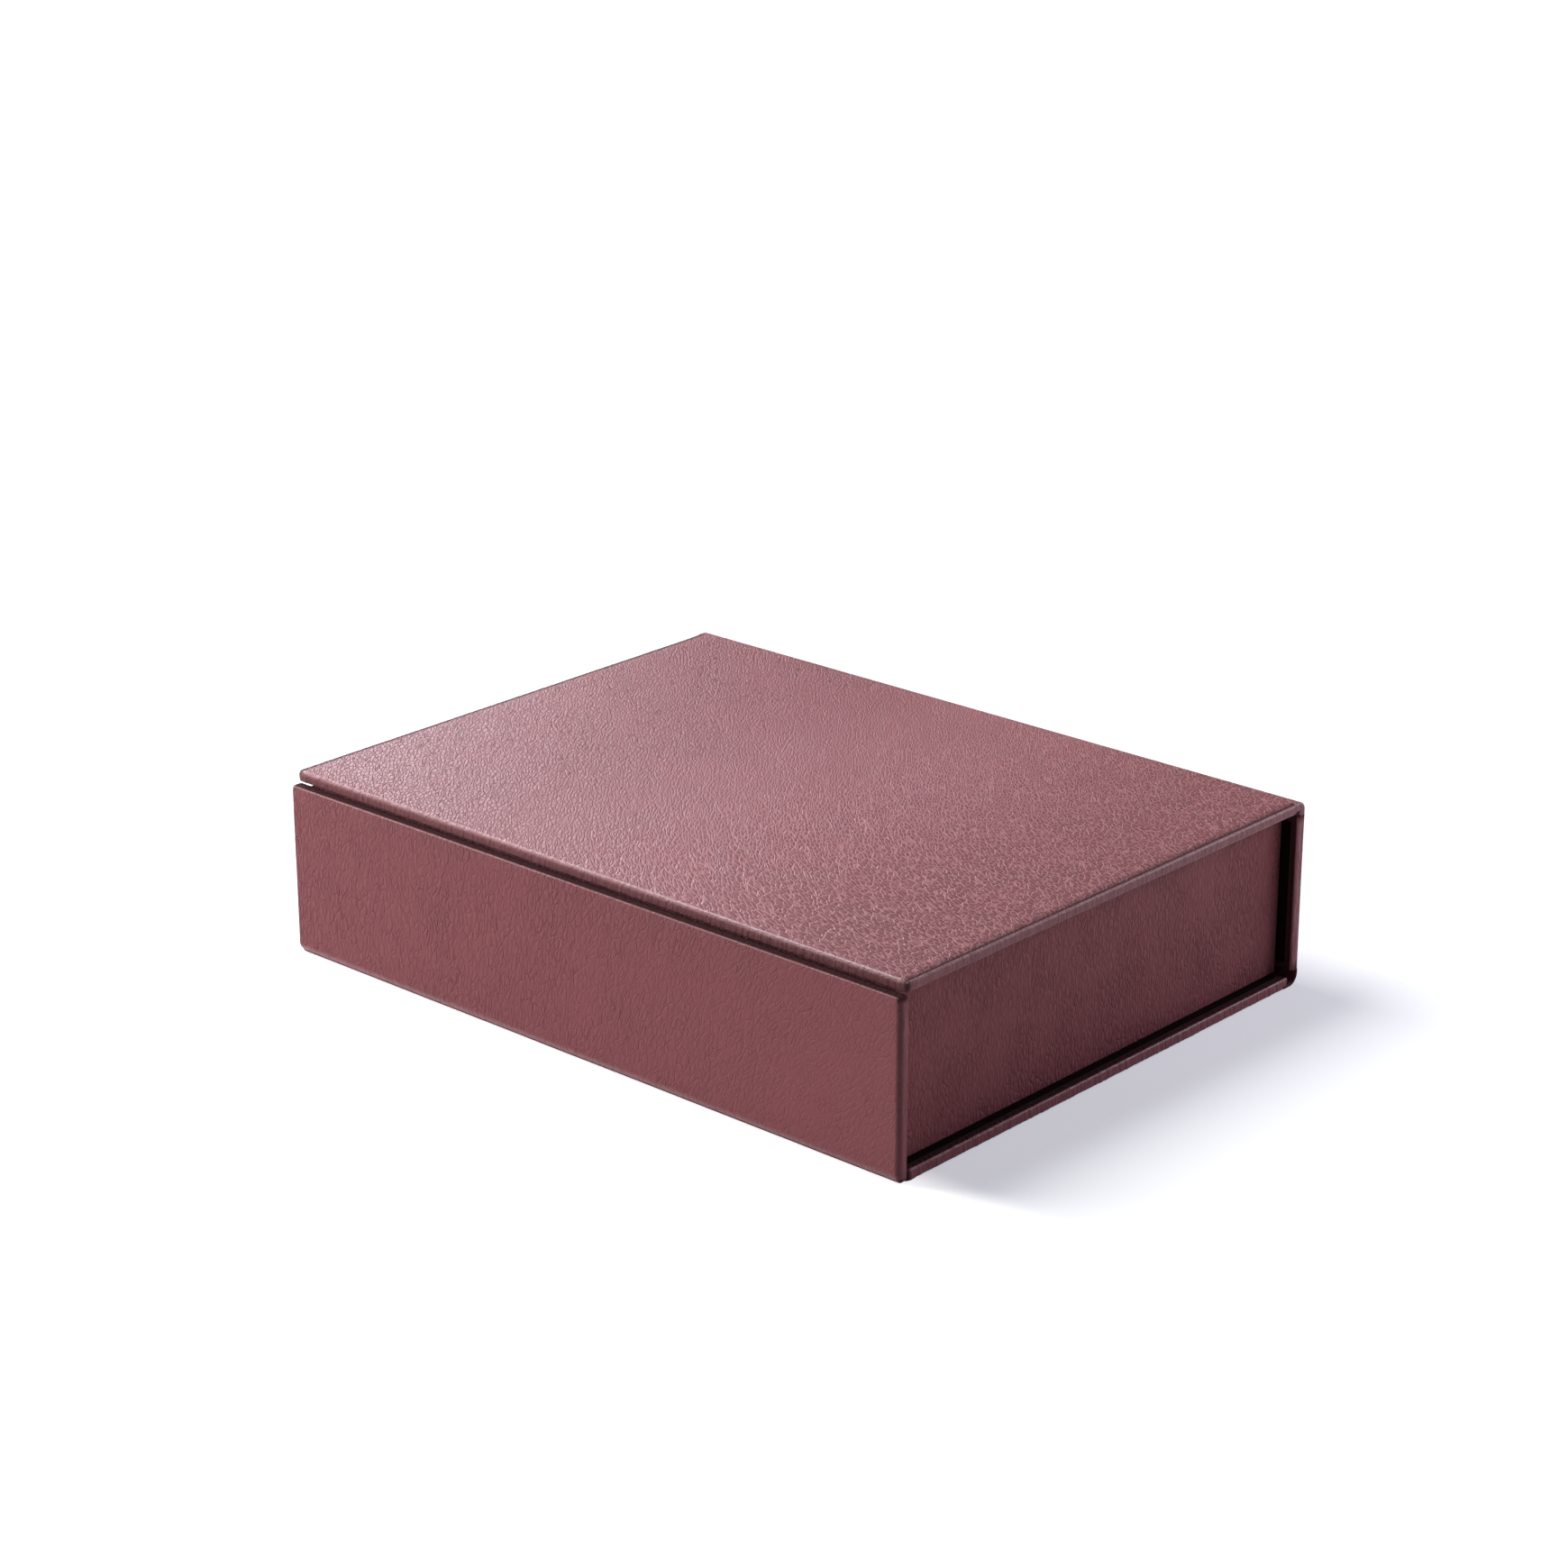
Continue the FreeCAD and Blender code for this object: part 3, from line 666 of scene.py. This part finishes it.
def round_board(graph, at):
    given = graph.given
    near_radius = graph.pick(at.outer, given["Near Outer"], given["Near Inner"])
    far_radius = graph.pick(at.outer, given["Far Outer"], given["Far Inner"])
    side_radius = graph.pick(at.far, far_radius, near_radius).at_least(LEAST_RADIUS)
    end_radius = graph.pick(at.outer, given["End Outer"], given["End Inner"]).at_least(LEAST_RADIUS)
    plan_radius = graph.pick(at.far, given["Far Corner"], given["Near Corner"]).at_least(LEAST_RADIUS)
    at.y, at.z, at.side_turn, at.side_share = round_corner(
        at.y, at.z, at.to_side, at.to_face, at.side_sign, at.face_sign, side_radius
    )
    at.x, at.z, at.end_turn, at.end_share = round_corner(
        at.x, at.z, at.to_end, at.to_face, at.end_sign, at.face_sign, end_radius
    )
    at.x, at.y, at.plan_turn, _ = round_corner(
        at.x, at.y, at.to_end, at.to_side, at.end_sign, at.side_sign, plan_radius
    )


round_board(board_rule, point)
print("edges rounded with", len(board_rule.tree.nodes), "nodes")

# %% Shoulder and groove
GROOVE_PLACE = 1.7 * MM
GROOVE_WIDTH = 1.2 * MM


def press_board(graph, at):
    """Lets the outer face droop a little towards every free edge, and presses a line beside the arris of
    the ends, which leaves a bead outside it."""
    given = graph.given
    free = graph.pick(at.far, given["Far Free"], given["Near Free"])
    drop_end = (1 - at.to_end / given["Shoulder Width"]).at_least(0)
    drop_side = (1 - at.to_side / given["Shoulder Width"]).at_least(0) * free
    drop = drop_end.at_least(drop_side)
    off_line = (at.to_end - GROOVE_PLACE) / GROOVE_WIDTH
    bell = (1 - off_line * off_line).at_least(0)
    at.pressed = bell * bell * at.rise
    at.z = at.z - given["Shoulder"] * drop * drop * at.rise - given["Groove"] * at.pressed


press_board(board_rule, point)
print("outer face pressed with", len(board_rule.tree.nodes), "nodes")

# %% Marks for the leather
FACE_FROM, FACE_TO = 0.05 * MM, 0.4 * MM


def board_marks(graph, at):
    """Polished edges with a painted highlight, end bands painted lighter as if lit, painted shade in
    hollows and on edges and faces in the dark, and hide that is pulled tight.
    """
    given = graph.given
    near_face = graph.ease(at.side_share, 0.45, 0.80) * (1 - at.far)
    end_face = graph.ease(at.end_share, 0.35, 0.75)
    inner_face = (1 - at.outer) * (1 - graph.ease(at.to_face, FACE_FROM, FACE_TO))
    inner_face = inner_face * (1 - graph.ease(at.end_share, 0.05, 0.35))
    dusk_reach = graph.pick(at.far, given["Far Dusk"], given["Near Dusk"]).at_least(LEAST_RADIUS)
    dusk = 1 - graph.ease(at.to_side, 0.0, dusk_reach)
    rolled = at.side_turn * (1 - graph.ease(at.side_share, 0.40, 0.70))
    # Painted shade goes on the pressed line, the outer end edges, the plan corners and the faces in the
    # dark.
    end_shade = given["End Shade"] * at.outer
    gleam = rolled.at_least(0.8 * at.end_turn * (1 - end_shade))
    grooved = at.pressed * (given["Groove"] > 0) * at.outer
    shaded_edges = (at.end_turn * end_shade).at_least(0.85 * at.plan_turn)
    shaded_faces = (near_face * given["Near Shade"]).at_least(inner_face * given["Inner Shade"])
    return {
        "gleam": gleam * (1 - dusk * end_face),
        "lit_band": end_face * (1 - dusk),
        "painted_shade": largest(grooved, shaded_edges, shaded_faces, 0.8 * dusk * end_face),
        "tight": largest(gleam, end_face, near_face),
    }


def moved(graph, mesh, marks, x, y, z):
    """Stores each mark on the points, for the leather to read, and then moves the points."""
    for label, value in marks.items():
        store = {"data_type": "FLOAT", "domain": "POINT"}
        entry = {0: mesh, "Name": label, "Value": value}
        mesh = graph.add("GeometryNodeStoreNamedAttribute", store, entry)
    return graph.add("GeometryNodeSetPosition", None, {0: mesh, "Position": graph.joined(x, y, z)})


board_steps = [board_rule.given[f"{way} Steps"] for way in ("Long", "Wide", "Thick")]
board_cube = stepped_cube(board_rule, *board_steps)
smooth_board = moved(board_rule, board_cube, board_marks(board_rule, point), point.x, point.y, point.z)
print("board marked with", len(board_rule.tree.nodes), "nodes")

# %% [markdown]
# Leather that is turned over an edge puckers, and a pasted face is never quite flat. Bump alone would
# leave the outline straight, so the tree moves the points: sharp folds run across the ends and the free
# sides, and a slow noise sways the faces. Near a hinge everything holds still, so that the skins meet.

# %% Crinkles along the turned edges
CRINKLE_BAND = 4.5 * MM
HELD_BAND = 7 * MM
SIDE_CRINKLES = 0.45
CRINKLE_PULL = 0.12
CRINKLE_SHARPNESS = 5
# How far the seeds of opposite edges, and of ends and sides, lie apart.
OPPOSITE_SEED, SIDE_SEED = 7, 3


def crinkle_board(graph, mesh):
    given = graph.given
    x0, y0, _ = graph.split(given["Low"])
    x1, y1, _ = graph.split(given["High"])
    x, y, z = graph.split(graph.add("GeometryNodeInputPosition"))

    def beside(gap):
        return 1 - graph.ease(gap, 0.4 * CRINKLE_BAND, CRINKLE_BAND)

    def held(gap, free):
        return free.at_least(graph.ease(gap, 0.2 * HELD_BAND, HELD_BAND))

    def folds_along(way, seed):
        upward = z / given["Crinkle Spacing"] * CRINKLE_PULL
        noise = graph.noise(graph.joined(way / given["Crinkle Spacing"], upward, seed), 1.0, 2.0)
        return (1 - abs(noise - 0.5) * CRINKLE_SHARPNESS).at_least(0)

    to_end = 0.5 * (x1 - x0) - abs(x - 0.5 * (x0 + x1))
    near_band = given["Near Free"] * beside(y - y0)
    far_band = given["Far Free"] * beside(y1 - y)
    end_folds = beside(to_end) * folds_along(y, x.do("SIGN") * OPPOSITE_SEED + given["Seed"])
    side_folds = folds_along(x, y.do("SIGN") * OPPOSITE_SEED + given["Seed"] + SIDE_SEED)
    side_folds = SIDE_CRINKLES * near_band.at_least(far_band) * side_folds
    folds = given["Crinkle Depth"] * (end_folds + side_folds)
    size = given["Sway Size"]
    drift = graph.joined(x / size, y / size, z / size + given["Seed"])
    sway = given["Sway Depth"] * (graph.noise(drift, 1.0, 1.0) - 0.5)
    hold = held(y - y0, given["Near Free"]) * held(y1 - y, given["Far Free"])
    offset = graph.scaled(graph.add("GeometryNodeInputNormal"), hold * (sway - folds))
    return graph.add("GeometryNodeSetPosition", None, {0: mesh, "Offset": offset})


def end_tree(graph, mesh):
    """Every tree turns its result into place, realizes it and sets its material."""
    given = graph.given
    smooth = graph.add("GeometryNodeSetShadeSmooth", None, {0: mesh})
    turned = {0: smooth, "Translation": given["Shift"], "Rotation": given["Turn"]}
    placed = graph.add("GeometryNodeTransform", None, turned)
    real = graph.add("GeometryNodeRealizeInstances", None, {0: placed})
    dressed = graph.add("GeometryNodeSetMaterial", None, {0: real, "Material": given["Material"]})
    graph.add("NodeGroupOutput", None, {0: dressed})
    print("tree", graph.tree.name, len(graph.tree.nodes), "nodes")


end_tree(board_rule, crinkle_board(board_rule, smooth_board))

# %% [markdown]
# A modifier's inputs are set by identifier, then the evaluated result becomes a plain mesh, so that
# nothing live is left when the piece is given to its body.

# %% From a rule to a piece
SHARP = radians(38)


def dress(item, body, slot, stands_for):
    """Gives a piece its body, if it has one, and hides the nodes it stands for."""
    if body:
        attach(item, body)
    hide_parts(*stands_for)
    print("piece", item.name, len(item.data.polygons), "faces on", body or "two bodies")


def piece_from(rule, name, values, body, slot, stands_for):
    item = in_scene(name, bpy.data.meshes.new(name))
    modifier = item.modifiers.new("rule", "NODES")
    modifier.node_group = rule.tree
    sockets = {s.name: s.identifier for s in rule.tree.interface.items_tree if s.in_out == "INPUT"}
    for label, value in values.items():
        modifier[sockets[label]] = value
    view = bpy.context.evaluated_depsgraph_get()
    solid = bpy.data.meshes.new_from_object(item.evaluated_get(view))
    item.modifiers.clear()
    item.data = solid
    solid.name = name
    solid.set_sharp_from_angle(angle=SHARP)
    dress(item, body, slot, stands_for)
    return item


print("edges are sharp from", round(degrees(SHARP)), "degrees")

# %% [markdown]
# The tree draws each board lying flat, its outer face up and its free edge at the near side. A turn
# brings that drawing to its panel: it is named by where the outer face goes. A turn never mirrors, so
# the faces stay outside out.

# %% Turns
RIGHT = Vector((1, 0, 0))
BACK = Vector((0, 1, 0))
UP = Vector((0, 0, 1))


def facing(long_side, outer_face):
    across = outer_face.cross(long_side)
    return tuple(Matrix((long_side, across, outer_face)).transposed().to_euler())


LYING = facing(RIGHT, UP)
FACING_DOWN = facing(RIGHT, -UP)
FACING_BACK = facing(RIGHT, BACK)
FACING_FRONT = facing(-RIGHT, -BACK)
FACING_RIGHT = facing(BACK, RIGHT)
FACING_LEFT = facing(BACK, -RIGHT)
print("turn of the front:", [round(degrees(angle)) for angle in FACING_FRONT])

# %% Values of a board
# An input that neither this list nor a panel names stays at zero.
BOARD_DEFAULTS = {
    "Near Outer": 1.0 * MM, "Near Inner": 0.5 * MM, "End Outer": 1.0 * MM, "End Inner": 0.6 * MM,
    "Near Free": 1.0, "Shoulder Width": 4.0 * MM,
    "Long Steps": 150, "Wide Steps": 200, "Thick Steps": 14, "Round Steps": 5,
    "Crinkle Depth": 0.10 * MM, "Crinkle Spacing": 3.0 * MM,
    "Sway Depth": 0.16 * MM, "Sway Size": 34 * MM,
}


def flat_drawing(node, turn):
    """The node's box as it lies before the turn."""
    low, high = (Vector(corner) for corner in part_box(node))
    back = Euler(turn).to_matrix().inverted()
    pairs = list(zip(back @ low, back @ high))
    return Vector([min(pair) for pair in pairs]), Vector([max(pair) for pair in pairs])


def board_values(node, turn, changes):
    """The rule's inputs for a node."""
    low, high = flat_drawing(node, turn)
    return {**BOARD_DEFAULTS, "Low": low, "High": high, "Turn": turn, **changes}


print("values of a board:", len(BOARD_DEFAULTS))

# %% [markdown]
# The lid shows most. Its leather is rolled over the near edge, pressed with a line beside its ends, and
# runs on into the upper hinge at the back. The rolled edge gets a painted highlight, and the pressed
# line, the plan corners and a little of the near face get painted shade. Its inner face is set back a
# little, as every panel's is, so that the pasted lining stands proud of the leather turned in round it.

# %% Lid
LINING_STEP = 0.25 * MM


def wrap(panel, body, turn, changes, top_ply=0):
    """Makes the skin of a panel, its inner face set back and its near edge raised by a ply."""
    node = panel + "_leather"
    values = board_values(node, turn, changes)
    values["Low"].y -= top_ply
    values["Low"].z += LINING_STEP
    piece_from(board_rule, panel + "_skin", values, body, "burgundy_leather", [node])


wrap("lid", "lid", LYING, {
    "Near Outer": 2.0 * MM, "Far Inner": 1.6 * MM, "End Inner": 1.4 * MM, "Near Corner": 2.4 * MM,
    "Shoulder": 0.35 * MM, "Shoulder Width": 4.5 * MM, "Groove": 0.25 * MM,
    "Near Shade": 0.3, "Round Steps": 9, "Crinkle Depth": 0.16 * MM, "Crinkle Spacing": 2.4 * MM,
    "Seed": 2.0, "Material": lid_leather,
})

# %% [markdown]
# The front panel stands against the tray. Its near edge is the top one, in the dark under the lid, so
# its top face gets painted shade, and a ply of leather folded over it makes it a little higher. Its far
# edge is the foot, which bends round into the base, so it has the widest radius of all. Its outer end
# edges get painted shade as well.

# %% Front
TOP_PLY = 0.35 * MM
wrap("front", "base", FACING_FRONT, {
    "Near Outer": 0.9 * MM, "Near Inner": 0.6 * MM, "Far Outer": 4.5 * MM, "Far Free": 1.0,
    "End Outer": 2.4 * MM, "Near Corner": 2.4 * MM, "Far Corner": 2.2 * MM,
    "Long Steps": 190, "Wide Steps": 70, "Round Steps": 12, "Near Shade": 1.0, "End Shade": 0.62,
    "Crinkle Depth": 0.03 * MM, "Seed": 5.0, "Material": front_leather,
}, TOP_PLY)

# %% [markdown]
# Of the base only the ends show, as a narrow band under the tray. There the leather puckers most, so
# the crinkles are deepest. Its inner face lies in the dark of the gap beside the tray and gets painted
# shade, as does the lower edge of each end.

# %% Base
wrap("base", "base", FACING_DOWN, {
    "Near Outer": 2.6 * MM, "End Outer": 0.5 * MM, "End Inner": 1.2 * MM,
    "Far Corner": 2.2 * MM, "Long Steps": 90, "Wide Steps": 260, "Round Steps": 8,
    "Inner Shade": 0.95, "End Shade": 0.7, "Crinkle Depth": 0.28 * MM, "Crinkle Spacing": 3.3 * MM,
    "Seed": 9.0, "Material": end_leather,
})

# %% [markdown]
# The spine closes the back. Both its long sides run on into hinges, so their outer edges stay square.
# Its inner face, and its ends towards the hinges, lie in the dark and get painted shade.

# %% Spine
wrap("spine", "spine", FACING_BACK, {
    "Near Outer": 0.0, "Near Inner": 1.4 * MM, "Far Inner": 1.4 * MM, "Near Free": 0.0,
    "End Outer": 0.95 * MM, "End Inner": 1.2 * MM, "Long Steps": 190, "Wide Steps": 70,
    "Inner Shade": 0.95, "Near Dusk": 4 * MM, "Far Dusk": 5 * MM,
    "Crinkle Depth": 0.05 * MM, "Seed": 12.0, "Material": front_leather,
})

# %% [markdown]
# The hinges are the same leather with no board in it: a thin sheet that runs flat, bends through a
# quarter circle and runs flat again. Their ends are turned in, so they are thicker there. A curve with a
# bevel could draw the sheet, but not its thicker ends, so a tree bends a flat block along that path.

# %% The rule of a hinge
hinge_rule = new_tree(
    "hinge_sheet", places=[], counts=["Long Steps", "Path Steps"],
    numbers=[
        "Length", "First Leg", "Second Leg", "Bend", "Thickness", "End Thickness", "End Radius",
        "Lit End", "Crease Depth", "Seed",
    ],
)
END_STEPS = 4
SHEET_STEPS = 3
INNER_SIDE = 0.9
TURNED_IN, THINNED_OUT = 7 * MM, 12 * MM
CREASE_LENGTH, CREASE_WIDTH = 9 * MM, 1.1 * MM


def shape_hinge(graph):
    given = graph.given
    u, v, w = graph.split(graph.add("GeometryNodeInputPosition"))
    # Along the hinge: a few steps round each end, then even ones to the middle.
    half_long = 0.5 * given["Length"]
    steps_in = (1 - abs(u)) * given["Long Steps"] * 0.5
    angle = (1 - steps_in / END_STEPS).at_least(0) * (pi / 2)
    even = (steps_in - END_STEPS).at_least(0) / (given["Long Steps"] * 0.5 - END_STEPS)
    from_end = given["End Radius"] * (1 - angle.do("SINE")) + even * (half_long - given["End Radius"])
    shrink = given["End Radius"] * (1 - angle.do("COSINE"))
    x = u.do("SIGN") * (half_long - from_end)
    # Across the hinge: flat, round the bend, flat again.
    arc = given["Bend"] * (pi / 2)
    run = (v * 0.5 + 0.5) * (given["First Leg"] + arc + given["Second Leg"])
    turn = ((run - given["First Leg"]) / given["Bend"]).at_least(0).at_most(pi / 2)
    y = run.at_most(given["First Leg"]) + given["Bend"] * turn.do("SINE")
    z = given["Bend"] * (1 - turn.do("COSINE")) + (run - given["First Leg"] - arc).at_least(0)
    # Through the hinge: thicker where the ends are turned in, and creased in the bend.
    doubled = 1 - graph.ease(from_end, TURNED_IN, THINNED_OUT)
    thick = given["Thickness"] + doubled * (given["End Thickness"] - given["Thickness"])
    lines = graph.joined(x / CREASE_LENGTH, run / CREASE_WIDTH, given["Seed"])
    crease = given["Crease Depth"] * (turn * 2).do("SINE") * (graph.noise(lines, 1.0, 2.0) - 0.5)
    depth = shrink + (w * 0.5 + 0.5) * (thick - 2 * shrink) + crease
    y = y - depth * turn.do("SINE")
    z = z + depth * turn.do("COSINE")
    # A lit end gets a painted highlight on its arris and is painted lighter, as if lit; any other end,
    # and the inner face of that hinge, gets painted shade.
    at_end = graph.ease(angle, 0.5, 1.3)
    dark = 1 - given["Lit End"]
    shaded_inside = (w > INNER_SIDE) * (1 - at_end) * dark
    marks = {
        "gleam": (angle * 2).do("SINE") * given["Lit End"],
        "lit_band": at_end * given["Lit End"],
        "painted_shade": (at_end * dark).at_least(0.7 * shaded_inside),
        "tight": at_end,
    }
    sheet = stepped_cube(graph, given["Long Steps"], given["Path Steps"], SHEET_STEPS)
    return moved(graph, sheet, marks, x, y, z)


end_tree(hinge_rule, shape_hinge(hinge_rule))

# %% [markdown]
# A hinge belongs to two bodies. If it rode on one, it would tear away from the other, so it is given to
# neither, and its place is baked into its mesh. The lower hinge reaches a little way under the base.

# %% Lower hinge
lid_low, lid_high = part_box("lid_leather")
hinge_common = {
    "Length": lid_high[0] - lid_low[0], "Thickness": 1.0 * MM, "Long Steps": 170, "Path Steps": 30,
    "Crease Depth": 0.12 * MM,
}
LOWER_BEND = 5.0 * MM
LOWER_END = 1.3 * MM
UNDERLAP = 2.5 * MM
lower_low, lower_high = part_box("lower_hinge_leather")
lower_hinge = piece_from(hinge_rule, "lower_hinge_skin", {
    **hinge_common, "Bend": LOWER_BEND, "End Thickness": LOWER_END, "End Radius": 0.5 * MM,
    "First Leg": lower_high[1] - LOWER_BEND - lower_low[1] + UNDERLAP,
    "Second Leg": lower_high[2] - LOWER_BEND - lower_low[2],
    "Lit End": 0.0, "Seed": 3.0, "Material": front_leather,
    "Shift": (0, lower_low[1] - UNDERLAP, lower_low[2]), "Turn": (0, 0, 0),
}, None, "burgundy_leather", ["lower_hinge_leather"])
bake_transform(lower_hinge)

# %% Upper hinge
UPPER_BEND = 3.5 * MM
UPPER_END = 3.6 * MM
upper_low, upper_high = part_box("upper_hinge_leather")
upper_hinge = piece_from(hinge_rule, "upper_hinge_skin", {
    **hinge_common, "Bend": UPPER_BEND, "End Thickness": UPPER_END, "End Radius": 1.0 * MM,
    "First Leg": upper_high[2] - UPPER_BEND - upper_low[2],
    "Second Leg": upper_high[1] - UPPER_BEND - upper_low[1],
    "Lit End": 1.0, "Seed": 8.0, "Material": lid_leather,
    "Shift": (0, upper_high[1], upper_low[2]), "Turn": (pi / 2, 0, 0),
}, None, "burgundy_leather", ["upper_hinge_leather"])
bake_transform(upper_hinge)

# %% [markdown]
# The tray is a ring of four walls under one leather. A loft suits it: each step of the cross-section is
# a rounded rectangle, drawn further in or out and higher or lower, and the steps are joined in order.
# The section climbs the outside, turns over the rim and comes down the inside as a lip.

# %% A rounded rectangle
CORNER_STEPS = 6
LEAST_ROUND = 0.02 * MM


def between(start, end, share):
    return tuple(a + share * (b - a) for a, b in zip(start, end))


def rounded_rectangle(low, high, inset, radii, spacing):
    """Points round a rectangle, anticlockwise from above, with the same count for every inset."""
    front_round, back_round = radii
    corners = [
        (high[0], low[1], -90, front_round), (high[0], high[1], 0, back_round),
        (low[0], high[1], 90, back_round), (low[0], low[1], 180, front_round),
    ]
    arcs = []
    for x, y, start, radius in corners:
        reach = max(radius - inset, LEAST_ROUND)
        inward = radius + max(inset - radius + LEAST_ROUND, 0)
        middle_x = x - inward if x > 0 else x + inward
        middle_y = y - inward if y > 0 else y + inward
        turns = [radians(start + 90 * k / CORNER_STEPS) for k in range(CORNER_STEPS + 1)]
        arcs.append([(middle_x + reach * cos(t), middle_y + reach * sin(t)) for t in turns])
    lengths = [high[1] - low[1], high[0] - low[0]] * 2
    points = []
    for arc, following, length in zip(arcs, arcs[1:] + arcs[:1], lengths):
        count = int(length / spacing)
        points += arc
        points += [between(arc[-1], following[0], n / count) for n in range(1, count)]
    return points


print("points round a corner:", CORNER_STEPS + 1)

# %% A loft of rounded rectangles
REAR_SHADE = 6 * MM
REAR_SHADE_DEPTH = 0.8


def loft(name, low, high, radii, section, spacing, material):
    """Joins the steps of a section into a closed skin. A step has an inset, a height and a gleam, a
    painted highlight, and the rear of the skin gets painted shade, where it stands close to the spine."""
    rings = [rounded_rectangle(low, high, inset, radii, spacing) for inset, height, gleam in section]
    count = len(rings[0])
    points = [(x, y, height) for ring, (_, height, _) in zip(rings, section) for x, y in ring]
    faces = []
    for k in range(len(section)):
        above = (k + 1) % len(section)
        for n in range(count):
            ahead = (n + 1) % count
            faces.append((k * count + n, k * count + ahead, above * count + ahead, above * count + n))
    mesh = bpy.data.meshes.new(name)
    mesh.from_pydata(points, [], faces)
    mesh.materials.append(material)
    mesh.shade_smooth()
    mesh.set_sharp_from_angle(angle=SHARP)
    dark = [max(0, min(1, (y - high[1] + REAR_SHADE) / REAR_SHADE)) for x, y, z in points]
    marks = {
        "gleam": [gleam for inset, height, gleam in section for n in range(count)],
        "painted_shade": [REAR_SHADE_DEPTH * share * share for share in dark],
    }
    for mark, values in marks.items():
        mesh.attributes.new(mark, "FLOAT", "POINT").data.foreach_set("value", values)
    print("loft of", len(section), "steps with", count, "points each")
    return in_scene(name, mesh)


print("a loft is dark over its last", round(REAR_SHADE / MM), "mm")

# %% Tray leather
LEATHER_THICKNESS = 1.0 * MM
WALL = 5.0 * MM
WALL_STEPS = 24
RIM_ROUND = 1.4 * MM
RIM_STEPS = 6
LIP = 10 * MM
LIP_EDGE = 0.3 * MM
LIP_THICKNESS = 1.6 * MM
TRAY_CORNERS = (0.4 * MM, 0.8 * MM)
TRAY_SPACING = 2.5 * MM
left_low, left_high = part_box("tray_left_leather")
tray_low = (left_low[0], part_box("tray_front_wall")[0][1] - LEATHER_THICKNESS)
tray_high = (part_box("tray_right_leather")[1][0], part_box("tray_back_leather")[1][1])
foot, rim = left_low[2], left_high[2]

rise = rim - RIM_ROUND - foot
rim_turns = [radians(90 * k / RIM_STEPS) for k in range(RIM_STEPS + 1)]
# The third number of each step is its gleam, a painted highlight on the rounded rim.
section = [(0, foot + rise * k / WALL_STEPS, 0.0) for k in range(WALL_STEPS + 1)]
section += [
    (RIM_ROUND * (1 - cos(turn)), rim - RIM_ROUND * (1 - sin(turn)), sin(2 * turn))
    for turn in rim_turns[1:]
]
section += [
    (WALL - RIM_ROUND * (1 - sin(turn)), rim - RIM_ROUND * (1 - cos(turn)), sin(2 * turn))
    for turn in rim_turns
]
section += [
    (WALL, rim - LIP + LIP_EDGE, 0.0), (WALL - LIP_EDGE, rim - LIP, 0.5),
    (WALL - LIP_THICKNESS, rim - LIP, 0.0), (WALL - LIP_THICKNESS, foot, 0.0),
]
tray_skin = loft("tray_skin", tray_low, tray_high, TRAY_CORNERS, section, TRAY_SPACING, end_leather)
tray_leathers = [f"tray_{side}_leather" for side in ("front", "back", "left", "right")]
dress(tray_skin, "base", "burgundy_leather", tray_leathers)

# %% [markdown]
# Linings are thin slabs with their edges just broken. A plain cube would do for the shape, but not for
# the soft edge, so the board rule makes them too, with small radii and no crinkles. They stand a quarter
# of a millimetre above the turned-in leather, as a pasted sheet does.

# %% Linings
LINING_CHANGES = {
    "Near Outer": 0.3 * MM, "Near Inner": 0.1 * MM, "Far Outer": 0.3 * MM, "Far Inner": 0.1 * MM,
    "End Outer": 0.4 * MM, "End Inner": 0.1 * MM, "Far Free": 1.0,
    "Long Steps": 90, "Wide Steps": 60, "Thick Steps": 4, "Round Steps": 3,
    "Crinkle Depth": 0.0, "Sway Depth": 0.08 * MM, "Sway Size": 22 * MM,
}
LINING_SEED = 21.0
CASE = ("case_lining", case_suede)
TRAY = ("tray_lining", tray_suede)
LININGS = [
    ("lid_lining", FACING_DOWN, "lid", CASE), ("base_lining", LYING, "base", CASE),
    ("spine_lining", FACING_FRONT, "spine", CASE), ("front_lining", FACING_BACK, "base", CASE),
    ("tray_floor_lining", LYING, "base", TRAY), ("tray_front_lining", FACING_BACK, "base", TRAY),
    ("tray_back_lining", FACING_FRONT, "base", TRAY), ("tray_left_lining", FACING_RIGHT, "base", TRAY),
    ("tray_right_lining", FACING_LEFT, "base", TRAY),
]

for order, (node, turn, body, (slot, material)) in enumerate(LININGS):
    own = {**LINING_CHANGES, "Seed": LINING_SEED + order, "Material": material}
    piece_from(board_rule, node + "_cloth", board_values(node, turn, own), body, slot, [node])
